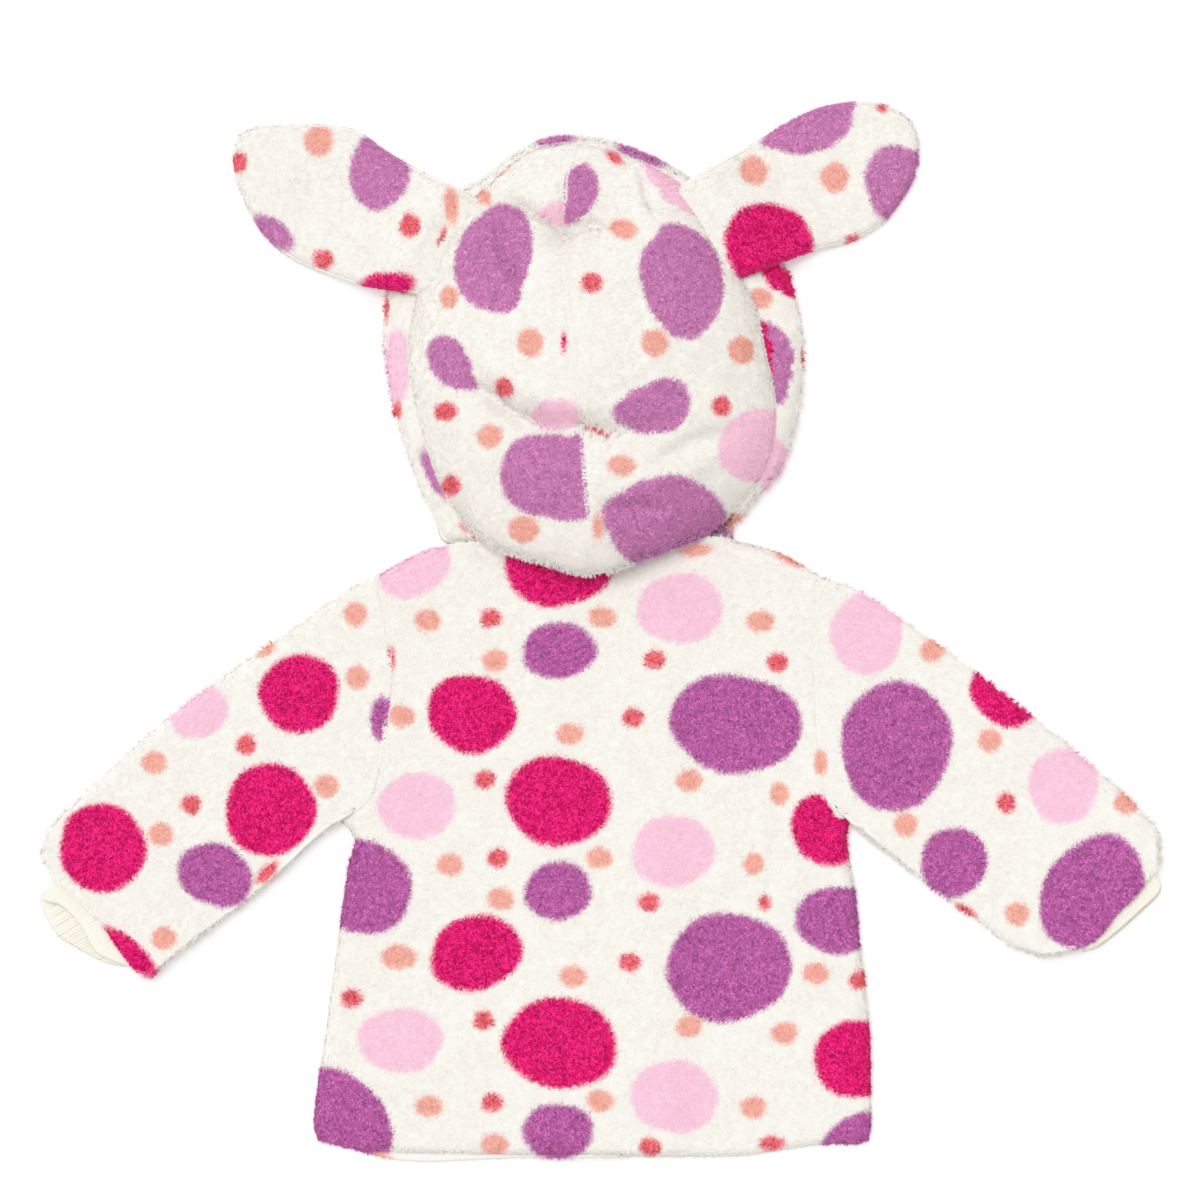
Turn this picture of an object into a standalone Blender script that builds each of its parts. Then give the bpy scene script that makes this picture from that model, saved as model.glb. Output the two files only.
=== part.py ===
"""A baby's hooded plush fleece jacket with two ears, laid face down on a surface.

+Z points up off the surface, +Y towards the hood and +X towards the wearer's right
arm. The origin is under the middle of the jacket, on the surface. Sizes below are in
millimetres, and MM turns them into Blender's metres.
"""

import math
from collections import namedtuple

import bmesh
import bpy
import numpy as np

MM = 0.001
COLLECTION = "fleece_jacket"
ORIGIN = np.array((0.427, -0.043))  # plan point of the tables that becomes the origin

# Cloth
FLEECE = 4.0  # knit backing and its pile
RIB = 1.6  # rib knit of the cuffs
SEAM_GAP = 0.3
AIR = 2.4  # between the back and the fronts, away from the hem
LAY = 0.6  # left between two layers that lie on each other
FLAT_HEIGHT = 2 * FLEECE + LAY + AIR
SIDE_ROUND = 10.0  # width of the rounded fold along a side
RIM = 1.2  # height of a layer's own edge at a side seam
SHARP_ANGLE = 50.0  # degrees between faces whose edge is shown sharp

# Body: the side edges, from the hem's corner up to the underarm
Side = namedtuple("Side", "y left right")
SIDES = (
    Side(-305.0, -169.5, 160.5),
    Side(-296.0, -172.0, 162.4),
    Side(-277.0, -170.6, 162.3),
    Side(-243.0, -165.5, 161.7),
    Side(-213.0, -161.6, 159.3),
    Side(-186.0, -157.8, 155.6),
    Side(-162.0, -154.6, 153.6),
    Side(-141.0, -151.4, 150.2),
    Side(-124.0, -147.6, 147.8),
    Side(-113.5, -156.5, 149.9),
)
# The armholes, from the underarm up to the shoulder
ARMHOLES = (
    Side(-113.5, -156.5, 149.9),
    Side(-101.0, -141.3, 137.6),
    Side(-85.0, -137.0, 131.6),
    Side(-58.0, -133.0, 127.8),
    Side(-11.0, -129.3, 128.5),
    Side(34.0, -133.5, 131.1),
)
# The hem's edge, back and front, from side to side
Hem = namedtuple("Hem", "x back front")
HEMS = (
    Hem(-169.5, -305.0, -305.0),
    Hem(-150.0, -309.8, -309.8),
    Hem(-127.0, -313.6, -316.0),
    Hem(-105.0, -314.4, -318.0),
    Hem(-80.0, -314.4, -317.0),
    Hem(-40.0, -314.3, -315.5),
    Hem(20.0, -314.5, -315.0),
    Hem(80.0, -314.0, -314.6),
    Hem(107.0, -310.6, -311.0),
    Hem(133.0, -308.0, -308.4),
    Hem(160.5, -305.0, -305.0),
)
# The shoulder seams, from the armhole in to the neck's corner
Shoulder = namedtuple("Shoulder", "left_x left_y right_x right_y")
SHOULDERS = (
    Shoulder(-133.5, 34.0, 131.1, 34.0),
    Shoulder(-118.0, 43.0, 118.5, 41.5),
    Shoulder(-102.3, 50.0, 103.5, 49.0),
)
# Where the body's edges are divided: from the hem's corner, before the underarm, and
# the number of spans or points elsewhere
SIDE_START = (0.0, 2.0, 6.0)
SIDE_MIDDLE = 14.0
UNDERARM_STEPS = (27.0, 14.0)
SIDE_POINTS = 7
ARMHOLE_SPANS = 6
HEM_SPANS = 14
SHOULDER_POINTS = 4
NECK_POINTS = 9
FRONT_HEM_POINTS = 11
FRONT_NECK_POINTS = 8

HEM_SAG = 2.2  # how much lower the back lies along the hem
HEM_SAG_REACH = 60.0
HEM_EDGE = 0.7  # the share of its height that the back keeps at the hem's very edge
HEM_ROUND = 6.0
LAP_HALF = 12.0  # the fronts lap by twice this
Ramp = namedtuple("Ramp", "full gone")
LAP_CLIMB = Ramp(29.0, 47.0)  # where the upper front has climbed onto the lower one
LAP_LIFT = Ramp(34.0, 62.0)  # where the back lies over that step
LAP_NECK = Ramp(16.0, 40.0)  # heights on the plan where the back comes down at the neck
NECK_BACK_INSET = 1.0  # how far the back's neck edge reaches under the hood's seam
NECK_FRONT_GAP = 0.6

# Sleeves: the upper fold and the underarm fold, from the armhole to the hem
Sleeve = namedtuple("Sleeve", "top_x top_y under_x under_y")
SLEEVE_LEFT = (
    Sleeve(-133.5, 34.0, -156.5, -113.5),
    Sleeve(-154.5, 23.8, -163.0, -117.6),
    Sleeve(-184.0, 3.2, -171.0, -123.0),
    Sleeve(-215.0, -18.2, -181.5, -132.6),
    Sleeve(-248.0, -42.0, -197.0, -148.6),
    Sleeve(-280.0, -68.2, -218.0, -166.5),
    Sleeve(-308.0, -95.2, -240.0, -182.6),
    Sleeve(-328.0, -113.8, -256.0, -195.4),
    Sleeve(-334.8, -128.0, -264.0, -201.8),
    Sleeve(-333.4, -140.0, -269.0, -206.0),
)
SLEEVE_RIGHT = (
    Sleeve(131.1, 34.0, 149.9, -113.5),
    Sleeve(157.0, 24.0, 158.5, -122.0),
    Sleeve(186.0, 4.4, 170.5, -131.8),
    Sleeve(215.0, -16.6, 187.0, -145.0),
    Sleeve(245.0, -39.2, 205.0, -158.4),
    Sleeve(272.0, -60.6, 222.5, -171.4),
    Sleeve(300.0, -84.0, 241.0, -186.2),
    Sleeve(323.0, -106.0, 256.0, -192.8),
    Sleeve(334.0, -119.0, 267.0, -194.6),
    Sleeve(335.6, -138.0, 281.0, -191.2),
)
# The sleeve hems, from the upper fold to the underarm fold
Point = namedtuple("Point", "x y")
SLEEVE_END_LEFT = (
    Point(-333.4, -140.0),
    Point(-326.0, -147.6),
    Point(-312.3, -160.5),
    Point(-298.0, -174.5),
    Point(-287.0, -189.8),
    Point(-273.6, -206.6),
    Point(-269.0, -206.0),
)
SLEEVE_END_RIGHT = (
    Point(335.6, -138.0),
    Point(328.5, -145.5),
    Point(320.0, -157.0),
    Point(308.5, -167.8),
    Point(301.0, -178.4),
    Point(292.5, -185.6),
    Point(281.0, -191.2),
)
# Where the rings lie along a sleeve, and from where it rises to its hem's height
SLEEVE_STEPS = np.array((0.0, 0.11, 0.22, 0.33, 0.44, 0.55, 0.66, 0.76, 0.85, 0.92, 0.965, 1.0))
SLEEVE_RISE_FROM = 0.6
SLEEVE_END_HEIGHT = 14.0
ARMHOLE_GAP = 0.35

# Cuffs: rib tubes that start inside the sleeve and end in an upper and a lower lip
CUFF_INSIDE = 14.0
Lip = namedtuple("Lip", "upper_x upper_y lower_x lower_y")
CUFF_LEFT_LIPS = (
    Lip(-332.5, -154.0, -332.5, -154.0),
    Lip(-334.0, -160.6, -335.4, -164.0),
    Lip(-324.0, -163.4, -326.5, -181.0),
    Lip(-314.8, -171.4, -317.6, -187.6),
    Lip(-308.2, -181.0, -307.8, -193.0),
    Lip(-302.0, -191.6, -297.6, -197.6),
    Lip(-286.0, -199.6, -286.0, -199.6),
)
CUFF_RIGHT_LIPS = (
    Lip(336.0, -151.0, 336.0, -151.0),
    Lip(333.2, -157.4, 334.0, -158.0),
    Lip(323.6, -166.4, 324.6, -167.2),
    Lip(315.8, -173.6, 316.8, -174.4),
    Lip(307.8, -180.4, 308.6, -181.2),
    Lip(297.6, -188.0, 298.0, -188.8),
    Lip(288.6, -191.4, 288.6, -191.4),
)
CUFF_SPAN = (0.085, 0.865)  # the share of the sleeve's hem that the cuff fills
CUFF_POINTS = 13
CUFF_ROUND = 5.0
Ring = namedtuple("Ring", "low high")
CUFF_HEIGHTS = (Ring(4.5, 9.5), Ring(4.5, 9.5), Ring(3.2, 9.0), Ring(1.2, 8.2))

# Hood, by compass bearing round its top: how far the crown's seam and the face band
# reach, how far round the crown's profile has turned at its edge, and that edge's height
HOOD_CENTRE = np.array((-5.0, 164.0))
HOOD_TOP = 62.0
Hood = namedtuple("Hood", "bearing crown band turn rim")
HOOD = (
    Hood(0, 105.0, 126.5, 75, 20.0),
    Hood(15, 102.5, 127.0, 75, 20.0),
    Hood(30, 102.0, 128.0, 75, 20.0),
    Hood(45, 106.5, 124.5, 75, 20.0),
    Hood(60, 116.5, 122.6, 75, 20.0),
    Hood(75, 122.5, 126.0, 75, 20.0),
    Hood(90, 128.0, 131.2, 75, 20.0),
    Hood(105, 128.0, 132.4, 75, 20.0),
    Hood(120, 120.5, 126.5, 75, 20.0),
    Hood(135, 116.5, 130.5, 75, 20.0),
    Hood(150, 113.0, 130.5, 75, 20.0),
    Hood(165, 111.5, 128.5, 75, 20.0),
    Hood(180, 110.8, 124.4, 75, 20.0),
    Hood(195, 110.3, 122.8, 75, 20.0),
    Hood(210, 114.0, 125.2, 75, 19.0),
    Hood(225, 122.0, 132.6, 76, 15.0),
    Hood(240, 128.0, 147.0, 93, 11.6),
    Hood(255, 127.0, 154.0, 111, 11.4),
    Hood(270, 130.5, 155.0, 118, 11.4),
    Hood(285, 123.5, 154.0, 108, 11.4),
    Hood(300, 125.5, 146.0, 93, 11.6),
    Hood(315, 125.5, 131.0, 76, 15.0),
    Hood(330, 123.0, 131.0, 75, 19.0),
    Hood(345, 114.3, 128.5, 75, 20.0),
)
HOOD_ACROSS = 8  # faces from the centre seam to the edge
HOOD_ALONG = 18  # faces from the face edge to the nape
# How far the centre seam wanders sideways, from the nape (-1) to the face edge (1)
Wander = namedtuple("Wander", "along shift")
SEAM_WANDER = (
    Wander(-1.0, 5.0),
    Wander(-0.7, 1.0),
    Wander(-0.4, -2.5),
    Wander(-0.1, -8.0),
    Wander(0.3, -17.0),
    Wander(0.7, -15.5),
    Wander(1.0, -9.0),
)
# The crown's two big creases
Crease = namedtuple("Crease", "x y depth")
BROW_CREASE = (
    Crease(-66.0, 259.0, 0.0),
    Crease(-50.0, 252.5, 5.0),
    Crease(-36.0, 248.0, 8.0),
    Crease(-21.0, 241.0, 10.0),
    Crease(-2.0, 247.0, 7.5),
    Crease(24.0, 256.0, 0.0),
)
NAPE_CREASE = (
    Crease(-92.0, 153.0, 0.0),
    Crease(-72.0, 145.0, 5.0),
    Crease(-58.0, 132.0, 8.0),
    Crease(-40.0, 120.5, 9.0),
    Crease(-12.0, 117.0, 9.0),
    Crease(20.0, 117.5, 6.5),
    Crease(58.0, 129.0, 0.0),
)
CREASE_WIDTH = 13.0
NECK_FLAT = (221.0, 230.0)  # bearings over which the band sinks to the floor
NECK_CORNER = 232.0  # bearing of the neck's corner, and as far past due south
# The band's section from the crown's seam to the face opening: the share of its
# width, less an inset, and the share of the seam's height, plus a height
Fold = namedtuple("Fold", "share inset lift height")
BAND_OUTER = (
    Fold(0.6, 0.0, 0.78, 0.0),
    Fold(1.0, 0.0, 0.42, 0.0),
    Fold(1.0, 0.4, 0.0, 3.0),
    Fold(1.0, 4.0, 0.0, 0.0),
    Fold(1.0, 24.0, 0.0, 0.0),
)
BAND_INNER = (
    Fold(0.6, 2.6, 0.78, -3.1),
    Fold(1.0, 3.9, 0.42, -0.6),
    Fold(1.0, 4.4, 0.0, 5.6),
    Fold(1.0, 7.0, 0.0, FLEECE),
    Fold(1.0, 24.0, 0.0, FLEECE),
)
FRONT_PART = 0.5  # half the parting between the band's ends

# Ears: the upper and lower edges from the hood out to the tip
Ear = namedtuple("Ear", "top_x top_y low_x low_y")
EAR_LEFT = (
    Ear(-110.0, 277.0, -128.0, 204.2),
    Ear(-127.0, 287.2, -146.0, 207.8),
    Ear(-147.0, 300.6, -170.7, 216.4),
    Ear(-166.0, 303.9, -185.0, 223.2),
    Ear(-184.0, 304.2, -197.0, 232.4),
    Ear(-198.0, 303.8, -206.0, 243.0),
    Ear(-209.0, 302.2, -213.6, 257.0),
    Ear(-217.0, 297.6, -219.0, 271.0),
)
EAR_RIGHT = (
    Ear(75.0, 283.0, 106.0, 219.6),
    Ear(93.0, 293.2, 127.5, 227.6),
    Ear(109.0, 303.6, 148.0, 232.6),
    Ear(129.3, 313.6, 161.0, 238.6),
    Ear(149.7, 317.6, 172.0, 247.0),
    Ear(167.0, 317.0, 181.0, 259.0),
    Ear(179.0, 312.6, 187.4, 270.0),
    Ear(186.6, 306.0, 190.2, 281.0),
)
EAR_ACROSS = np.array((0.0, 0.035, 0.11, 0.3, 0.5, 0.7, 0.89, 0.965, 1.0))
EAR_ALONG = np.array((0.0, 0.08, 0.17, 0.28, 0.4, 0.54, 0.68, 0.8, 0.9, 0.96, 1.0))
EAR_TIP_BULGE = 3.0
EAR_PUFF = 1.2  # how much the ear's upper layer bulges inside its rounded edge
EAR_BASES = {"left": (128.5, 160.0), "right": (59.0, 28.0)}  # bearings on the seam
EAR_BASE_GAP = 0.7  # out from the crown's seam
EAR_BASE_LIFT = 20.7  # the ear's underside where it leaves the hood
EAR_SLOPE_RUN = 62.0  # over which it comes down to the surface
EAR_ROUND = 7.0
EAR_LAY = 0.3

# Press studs down the lap
STUD_PLACES = (-289.0, -203.0, -117.0, -31.0)
STUD_CAP_RADIUS = 6.0
STUD_CAP_THICK = 1.4
STUD_POST_RADIUS = 2.2
STUD_HEIGHT = 8.0
STUD_STEPS = 16

Finish = namedtuple("Finish", "color roughness metallic")
FINISHES = {
    "fleece": Finish((0.94, 0.92, 0.87), 0.95, 0.0),
    "rib_knit": Finish((0.95, 0.89, 0.77), 0.9, 0.0),
    "stud_plastic": Finish((0.93, 0.90, 0.86), 0.4, 0.0),
}


# Lines and curves ---------------------------------------------------------------


def lengths(line):
    """The distance of each point along the line."""
    steps = np.linalg.norm(np.diff(line, axis=0), axis=1)
    return np.concatenate(((0.0,), np.cumsum(steps)))


def at_distances(line, distances):
    """Points that lie at these distances along the line."""
    along = lengths(line)
    return np.stack([np.interp(distances, along, axis) for axis in line.T], axis=1)


def smooth(rows, steps=12):
    """A Catmull-Rom curve through the rows, with this many points for each span."""
    points = np.array(rows, float)
    padded = np.vstack((2 * points[0] - points[1], points, 2 * points[-1] - points[-2]))
    found = []
    for index in range(1, len(padded) - 2):
        p0, p1, p2, p3 = padded[index - 1 : index + 3]
        for t in np.linspace(0.0, 1.0, steps, endpoint=False):
            found.append(
                0.5 * (2 * p1 + (p2 - p0) * t + (2 * p0 - 5 * p1 + 4 * p2 - p3) * t**2)
                + 0.5 * (3 * p1 - p0 - 3 * p2 + p3) * t**3
            )
    return np.array(found + [points[-1]])


def sideways(line, turn):
    """Unit vectors across the line, to its left for a turn of 1 and its right for -1."""
    step = np.gradient(line, axis=0)
    step /= np.linalg.norm(step, axis=1)[:, None]
    return turn * np.stack((-step[:, 1], step[:, 0]), axis=1)


def smoothstep(low, high, value):
    t = np.clip((value - low) / (high - low), 0.0, 1.0)
    return t * t * (3.0 - 2.0 * t)


def rounded(distance, width):
    """Rises from 0 at an edge to 1 at width from it, as a quarter of an ellipse."""
    inward = 1.0 - np.clip(distance / width, 0.0, 1.0)
    return np.sqrt(1.0 - inward**2)


def distance_to(points, line):
    """How far each plan point lies from the line, and how far along it is nearest."""
    start, step = line[:-1], np.diff(line, axis=0)
    offset = points[:, None, :] - start[None]
    share = np.clip((offset * step).sum(2) / (step * step).sum(1), 0.0, 1.0)
    away = np.linalg.norm(offset - share[..., None] * step, axis=2)
    nearest = away.argmin(1)
    rows = np.arange(len(points))
    along = lengths(line)[nearest] + share[rows, nearest] * np.linalg.norm(step, axis=1)[nearest]
    return away[rows, nearest], along


EDGE_STEPS = SIDE_ROUND * (1.0 - np.cos(np.radians((0, 30, 60, 90))))


def crowded(total, spans):
    """Distances over a length, closer together over the rounded fold at each end."""
    middle = np.linspace(SIDE_ROUND, total - SIDE_ROUND, spans + 1)
    return np.concatenate((EDGE_STEPS[:-1], middle, total - EDGE_STEPS[:-1][::-1]))


# Cloth ---------------------------------------------------------------------------


def between(bottom, top, left, right):
    """Plan points between four edges, a row for each point of left and right."""
    across = (lengths(bottom) / lengths(bottom)[-1] + lengths(top) / lengths(top)[-1]) / 2
    up = (lengths(left) / lengths(left)[-1] + lengths(right) / lengths(right)[-1]) / 2
    u, v = across[None, :, None], up[:, None, None]
    corners = (1 - u) * (1 - v) * bottom[0] + u * (1 - v) * bottom[-1]
    corners = corners + (1 - u) * v * top[0] + u * v * top[-1]
    return (
        (1 - v) * bottom[None] + v * top[None] + (1 - u) * left[:, None] + u * right[:, None] - corners
    )


def cloth_object(name, outer, inner, finish, tube=False):
    """One piece of cloth with its thickness, from its outer and its inner points.

    Both hold a row of points for each section. A tube's rows close on themselves.
    """
    rows, columns = outer.shape[:2]
    if tube:
        outer = np.concatenate((outer, outer[:, :1]), axis=1)
        inner = np.concatenate((inner, inner[:, :1]), axis=1)
        columns += 1
    places = np.concatenate((outer.reshape(-1, 3), inner.reshape(-1, 3)))
    places[:, :2] -= ORIGIN
    mesh = bmesh.new()
    bmesh.ops.create_grid(mesh, x_segments=columns - 1, y_segments=rows - 1, size=1.0)
    spot = {vertex.co.copy().freeze(): index for index, vertex in enumerate(mesh.verts)}
    made = bmesh.ops.extrude_face_region(mesh, geom=mesh.faces[:])["geom"]
    lining = {item for item in made if isinstance(item, bmesh.types.BMVert)}
    for vertex in mesh.verts:
        vertex.index = spot[vertex.co.copy().freeze()]
    ends = ({0}, {columns - 1}) if tube else ()
    walls = [face for face in mesh.faces if {v.index % columns for v in face.verts} in ends]
    for vertex in mesh.verts:
        vertex.co = places[vertex.index + rows * columns * (vertex in lining)] * MM
    if tube:
        bmesh.ops.delete(mesh, geom=walls, context="FACES")
        bmesh.ops.remove_doubles(mesh, verts=mesh.verts[:], dist=1e-6)
    bmesh.ops.triangulate(mesh, faces=mesh.faces[:])
    bmesh.ops.recalc_face_normals(mesh, faces=mesh.faces[:])
    if mesh.calc_volume(signed=True) < 0.0:
        bmesh.ops.reverse_faces(mesh, faces=mesh.faces[:])
    return add_object(name, mesh, finish)


def add_object(name, mesh, finish):
    data = bpy.data.meshes.new(name)
    mesh.to_mesh(data)
    mesh.free()
    data.materials.append(material(name, finish))
    data.shade_smooth()
    data.set_sharp_from_angle(angle=math.radians(SHARP_ANGLE))
    item = bpy.data.objects.new(name, data)
    bpy.data.collections[COLLECTION].objects.link(item)
    return item


def material(name, finish_name):
    """A material of the object's own, with the look of what it's made of."""
    made = bpy.data.materials.new(f"{name}_{finish_name}")
    made.use_nodes = True
    shader = made.node_tree.nodes["Principled BSDF"]
    finish = FINISHES[finish_name]
    shader.inputs["Base Color"].default_value = (*finish.color, 1.0)
    shader.inputs["Roughness"].default_value = finish.roughness
    shader.inputs["Metallic"].default_value = finish.metallic
    return made


def raised(plan, height):
    """Plan points with a height each."""
    return np.concatenate((plan, np.asarray(height)[..., None]), axis=-1)


# Hood ----------------------------------------------------------------------------


def hood_row(bearing):
    """The hood's table read at any bearing, in degrees, on a smooth closed curve."""
    step = HOOD[1].bearing - HOOD[0].bearing
    place = (bearing % 360.0) / step
    index, t = int(place), place - int(place)
    p0, p1, p2, p3 = (np.array(HOOD[(index + k) % len(HOOD)], float) for k in (-1, 0, 1, 2))
    curve = 2 * p1 + (p2 - p0) * t + (2 * p0 - 5 * p1 + 4 * p2 - p3) * t**2
    curve = curve + (3 * p1 - p0 - 3 * p2 + p3) * t**3
    return Hood(*(0.5 * curve))


def crown_point(share, bearing):
    """A point of the crown's outer surface, before its creases and wandering seam.

    share runs from 0 at the top of the crown to 1 at its edge.
    """
    row = hood_row(bearing)
    turn = math.radians(row.turn)
    reach = row.crown * math.sin(share * turn) / math.sin(min(turn, math.pi / 2))
    fall = (math.cos(share * turn) - math.cos(turn)) / (1.0 - math.cos(turn))
    height = row.rim + (HOOD_TOP - row.rim) * fall
    direction = np.array((math.cos(math.radians(bearing)), math.sin(math.radians(bearing))))
    return np.array((*(HOOD_CENTRE + reach * direction), height))


def crown_slope(share, bearing):
    """The outward normal of the crown and its downhill direction."""
    if share < 1e-6:
        return np.array((0.0, 0.0, 1.0)), np.array((1.0, 0.0, 0.0))
    step = 1e-3
    down = crown_point(share + step, bearing) - crown_point(share - step, bearing)
    around = crown_point(share, bearing + 0.2) - crown_point(share, bearing - 0.2)
    normal = np.cross(down, around)
    return normal / np.linalg.norm(normal), down / np.linalg.norm(down)


def crease_depth(plan, rows, width):
    """How deep the crease lies under each plan point."""
    line = smooth([(row.x, row.y) for row in rows])
    knots = lengths(line)[:: (len(line) - 1) // (len(rows) - 1)]
    away, along = distance_to(np.atleast_2d(plan), line)
    depth = np.interp(along, knots, [row.depth for row in rows])
    return depth * np.exp(-((away / width) ** 2))


def seam_shift(across, along):
    """Sideways shift that bends the crown's centre line into its seam."""
    shift = np.interp(along, [row.along for row in SEAM_WANDER], [row.shift for row in SEAM_WANDER])
    return shift * (1.0 - abs(across)) ** 3


def rim_point(bearing):
    """The crown's outer edge where its seam to the band and the ears runs."""
    angle = math.radians(bearing)
    edge = crown_point(1.0, bearing)
    edge[0] += seam_shift(math.cos(angle), math.sin(angle))
    return edge


def crown_section(across, along):
    """Outer and inner points of the crown at one place of its square chart.

    across runs from -1 at the left edge to 1 at the right, and along from -1 at the
    nape to 1 at the face edge.
    """
    round_x = across * math.sqrt(1.0 - along**2 / 2.0)
    round_y = along * math.sqrt(1.0 - across**2 / 2.0)
    share = min(math.hypot(round_x, round_y), 1.0)
    bearing = math.degrees(math.atan2(round_y, round_x)) % 360.0
    outer = crown_point(share, bearing)
    outer[0] += seam_shift(round_x, round_y)
    normal, _ = crown_slope(share, bearing)
    depth = crease_depth(outer[:2], BROW_CREASE, CREASE_WIDTH)[0]
    depth += crease_depth(outer[:2], NAPE_CREASE, CREASE_WIDTH)[0]
    outer = outer - depth * normal
    return outer, outer - FLEECE * normal


def edge_chart(side):
    """The square chart's edge of one half of the crown, from face edge to nape."""
    out = np.linspace(0.0, side, HOOD_ACROSS + 1)
    down = np.linspace(1.0, -1.0, HOOD_ALONG + 1)
    top = [(across, 1.0) for across in out]
    flank = [(side, along) for along in down[1:-1]]
    return top + flank + [(across, -1.0) for across in out[::-1]]


def build_crown(side):
    name = "hood_left" if side < 0 else "hood_right"
    outer = np.zeros((HOOD_ALONG + 1, HOOD_ACROSS + 1, 3))
    inner = outer.copy()
    for row, along in enumerate(np.linspace(1.0, -1.0, HOOD_ALONG + 1)):
        for column, share in enumerate(np.linspace(0.0, 1.0, HOOD_ACROSS + 1)):
            outer[row, column], inner[row, column] = crown_section(side * share, along)
    outer[:, 0, 0] += side * SEAM_GAP / 2
    inner[:, 0, 0] += side * SEAM_GAP / 2
    return cloth_object(name, outer, inner, "fleece")


def neck_flatness(bearing):
    """1 where the band is the flat strip at the front neck, 0 where it stands up."""
    from_south = abs((bearing - 270.0 + 180.0) % 360.0 - 180.0)
    return 1.0 - smoothstep(270.0 - NECK_FLAT[1], 270.0 - NECK_FLAT[0], from_south)


def upright_point(direction, reach, height):
    """A point this far out from the hood's centre, at this height."""
    return np.array((*(HOOD_CENTRE + reach * direction), height))


def band_section(across, along):
    """Outer and inner points of the band, from the crown's seam down and inward."""
    outer_rim, inner_rim = crown_section(across, along)
    round_x = across * math.sqrt(1.0 - along**2 / 2.0)
    round_y = along * math.sqrt(1.0 - across**2 / 2.0)
    bearing = math.degrees(math.atan2(round_y, round_x)) % 360.0
    _, down = crown_slope(1.0, bearing)
    row = hood_row(bearing)
    direction = np.array((math.cos(math.radians(bearing)), math.sin(math.radians(bearing))))
    start = outer_rim + SEAM_GAP * down
    under = inner_rim + SEAM_GAP * down
    reach = (start[:2] - HOOD_CENTRE) @ direction
    width = row.band - reach
    outer, inner = [start], [under]
    for folds, line in ((BAND_OUTER, outer), (BAND_INNER, inner)):
        for fold in folds:
            out = reach + fold.share * width - fold.inset
            line.append(upright_point(direction, out, fold.lift * start[2] + fold.height))
    outer, inner = np.array(outer), np.array(inner)
    flat_reach = row.band - np.linspace(0.0, BAND_OUTER[-1].inset, len(outer))
    flat_outer = np.array([upright_point(direction, out, 0.0) for out in flat_reach])
    flat_inner = np.array([upright_point(direction, out, FLEECE) for out in flat_reach])
    flat = neck_flatness(bearing)
    return outer + flat * (flat_outer - outer), inner + flat * (flat_inner - inner)


def build_band():
    chart = edge_chart(-1.0)[::-1] + edge_chart(1.0)[1:]
    sections = [band_section(across, along) for across, along in chart]
    outer = np.array([section[0] for section in sections])
    inner = np.array([section[1] for section in sections])
    for part in (outer, inner):
        part[0, :, 0] = HOOD_CENTRE[0] - FRONT_PART
        part[-1, :, 0] = HOOD_CENTRE[0] + FRONT_PART
    return cloth_object("hood_band", outer, inner, "fleece")


def neck_point(bearing, radius):
    direction = np.array((math.cos(math.radians(bearing)), math.sin(math.radians(bearing))))
    return HOOD_CENTRE + radius * direction


def neck_corner(side):
    bearing = 270.0 + side * (270.0 - NECK_CORNER)
    return neck_point(bearing, hood_row(bearing).band + NECK_FRONT_GAP)


def back_neckline():
    """The back's neck edge, just under the hood's seam, from left to right."""
    inner = []
    for bearing in np.arange(240.0, 301.0, 5.0):
        edge = crown_point(1.0, bearing)
        reach = np.linalg.norm(edge[:2] - HOOD_CENTRE) - NECK_BACK_INSET
        inner.append(neck_point(bearing, reach))
    return np.array([neck_corner(-1), *inner, neck_corner(1)])


def front_neckline(side):
    """One front's neck edge, from the neck's corner to the edge of its lap."""
    bearings = np.arange(NECK_CORNER, 276.0, 1.0)
    line = []
    for bearing in bearings if side < 0 else 540.0 - bearings:
        line.append(neck_point(bearing, hood_row(bearing).band + NECK_FRONT_GAP))
    line = np.array(line)
    lap = -side * LAP_HALF
    order = np.argsort(line[:, 0])
    height = np.interp(lap, line[order, 0], line[order, 1])
    kept = line[(line[:, 0] - lap) * side > 0.0]
    return np.vstack((kept, (lap, height)))


# Body ----------------------------------------------------------------------------


def shoulder_line(side):
    """From the armhole in to the neck's corner."""
    if side < 0:
        rows = [(row.left_x, row.left_y) for row in SHOULDERS]
    else:
        rows = [(row.right_x, row.right_y) for row in SHOULDERS]
    return smooth(rows + [tuple(neck_corner(side))])


def side_line(side):
    return smooth([(row.left if side < 0 else row.right, row.y) for row in SIDES])


def armhole_line(side):
    return smooth([(row.left if side < 0 else row.right, row.y) for row in ARMHOLES])


def armhole_points(side):
    """The armhole's points from the underarm up, which the body and the sleeve share."""
    line = armhole_line(side)
    return at_distances(line, crowded(lengths(line)[-1], ARMHOLE_SPANS))


def body_edge(side):
    """One side of the body, from the hem's corner through the underarm to the shoulder."""
    line = side_line(side)
    total = lengths(line)[-1]
    middle = np.linspace(SIDE_MIDDLE, total - UNDERARM_STEPS[0], SIDE_POINTS)
    steps = np.concatenate((SIDE_START, middle, (total - UNDERARM_STEPS[1], total)))
    return np.vstack((at_distances(line, steps), armhole_points(side)[1:]))


def lap_height(plan):
    """How much the lapped front lifts what lies on it."""
    spread = 1.0 - smoothstep(*LAP_LIFT, np.abs(plan[..., 0]))
    below_neck = 1.0 - smoothstep(*LAP_NECK, plan[..., 1])
    return (FLEECE + SEAM_GAP) * spread * below_neck


def round_edges():
    return [side_line(-1), shoulder_line(-1), side_line(1), shoulder_line(1)]


def edge_distance(plan):
    """How far each plan point lies from the body's folded edges."""
    flat = plan.reshape(-1, 2)
    away = np.min([distance_to(flat, line)[0] for line in round_edges()], axis=0)
    return away.reshape(plan.shape[:2])


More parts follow.
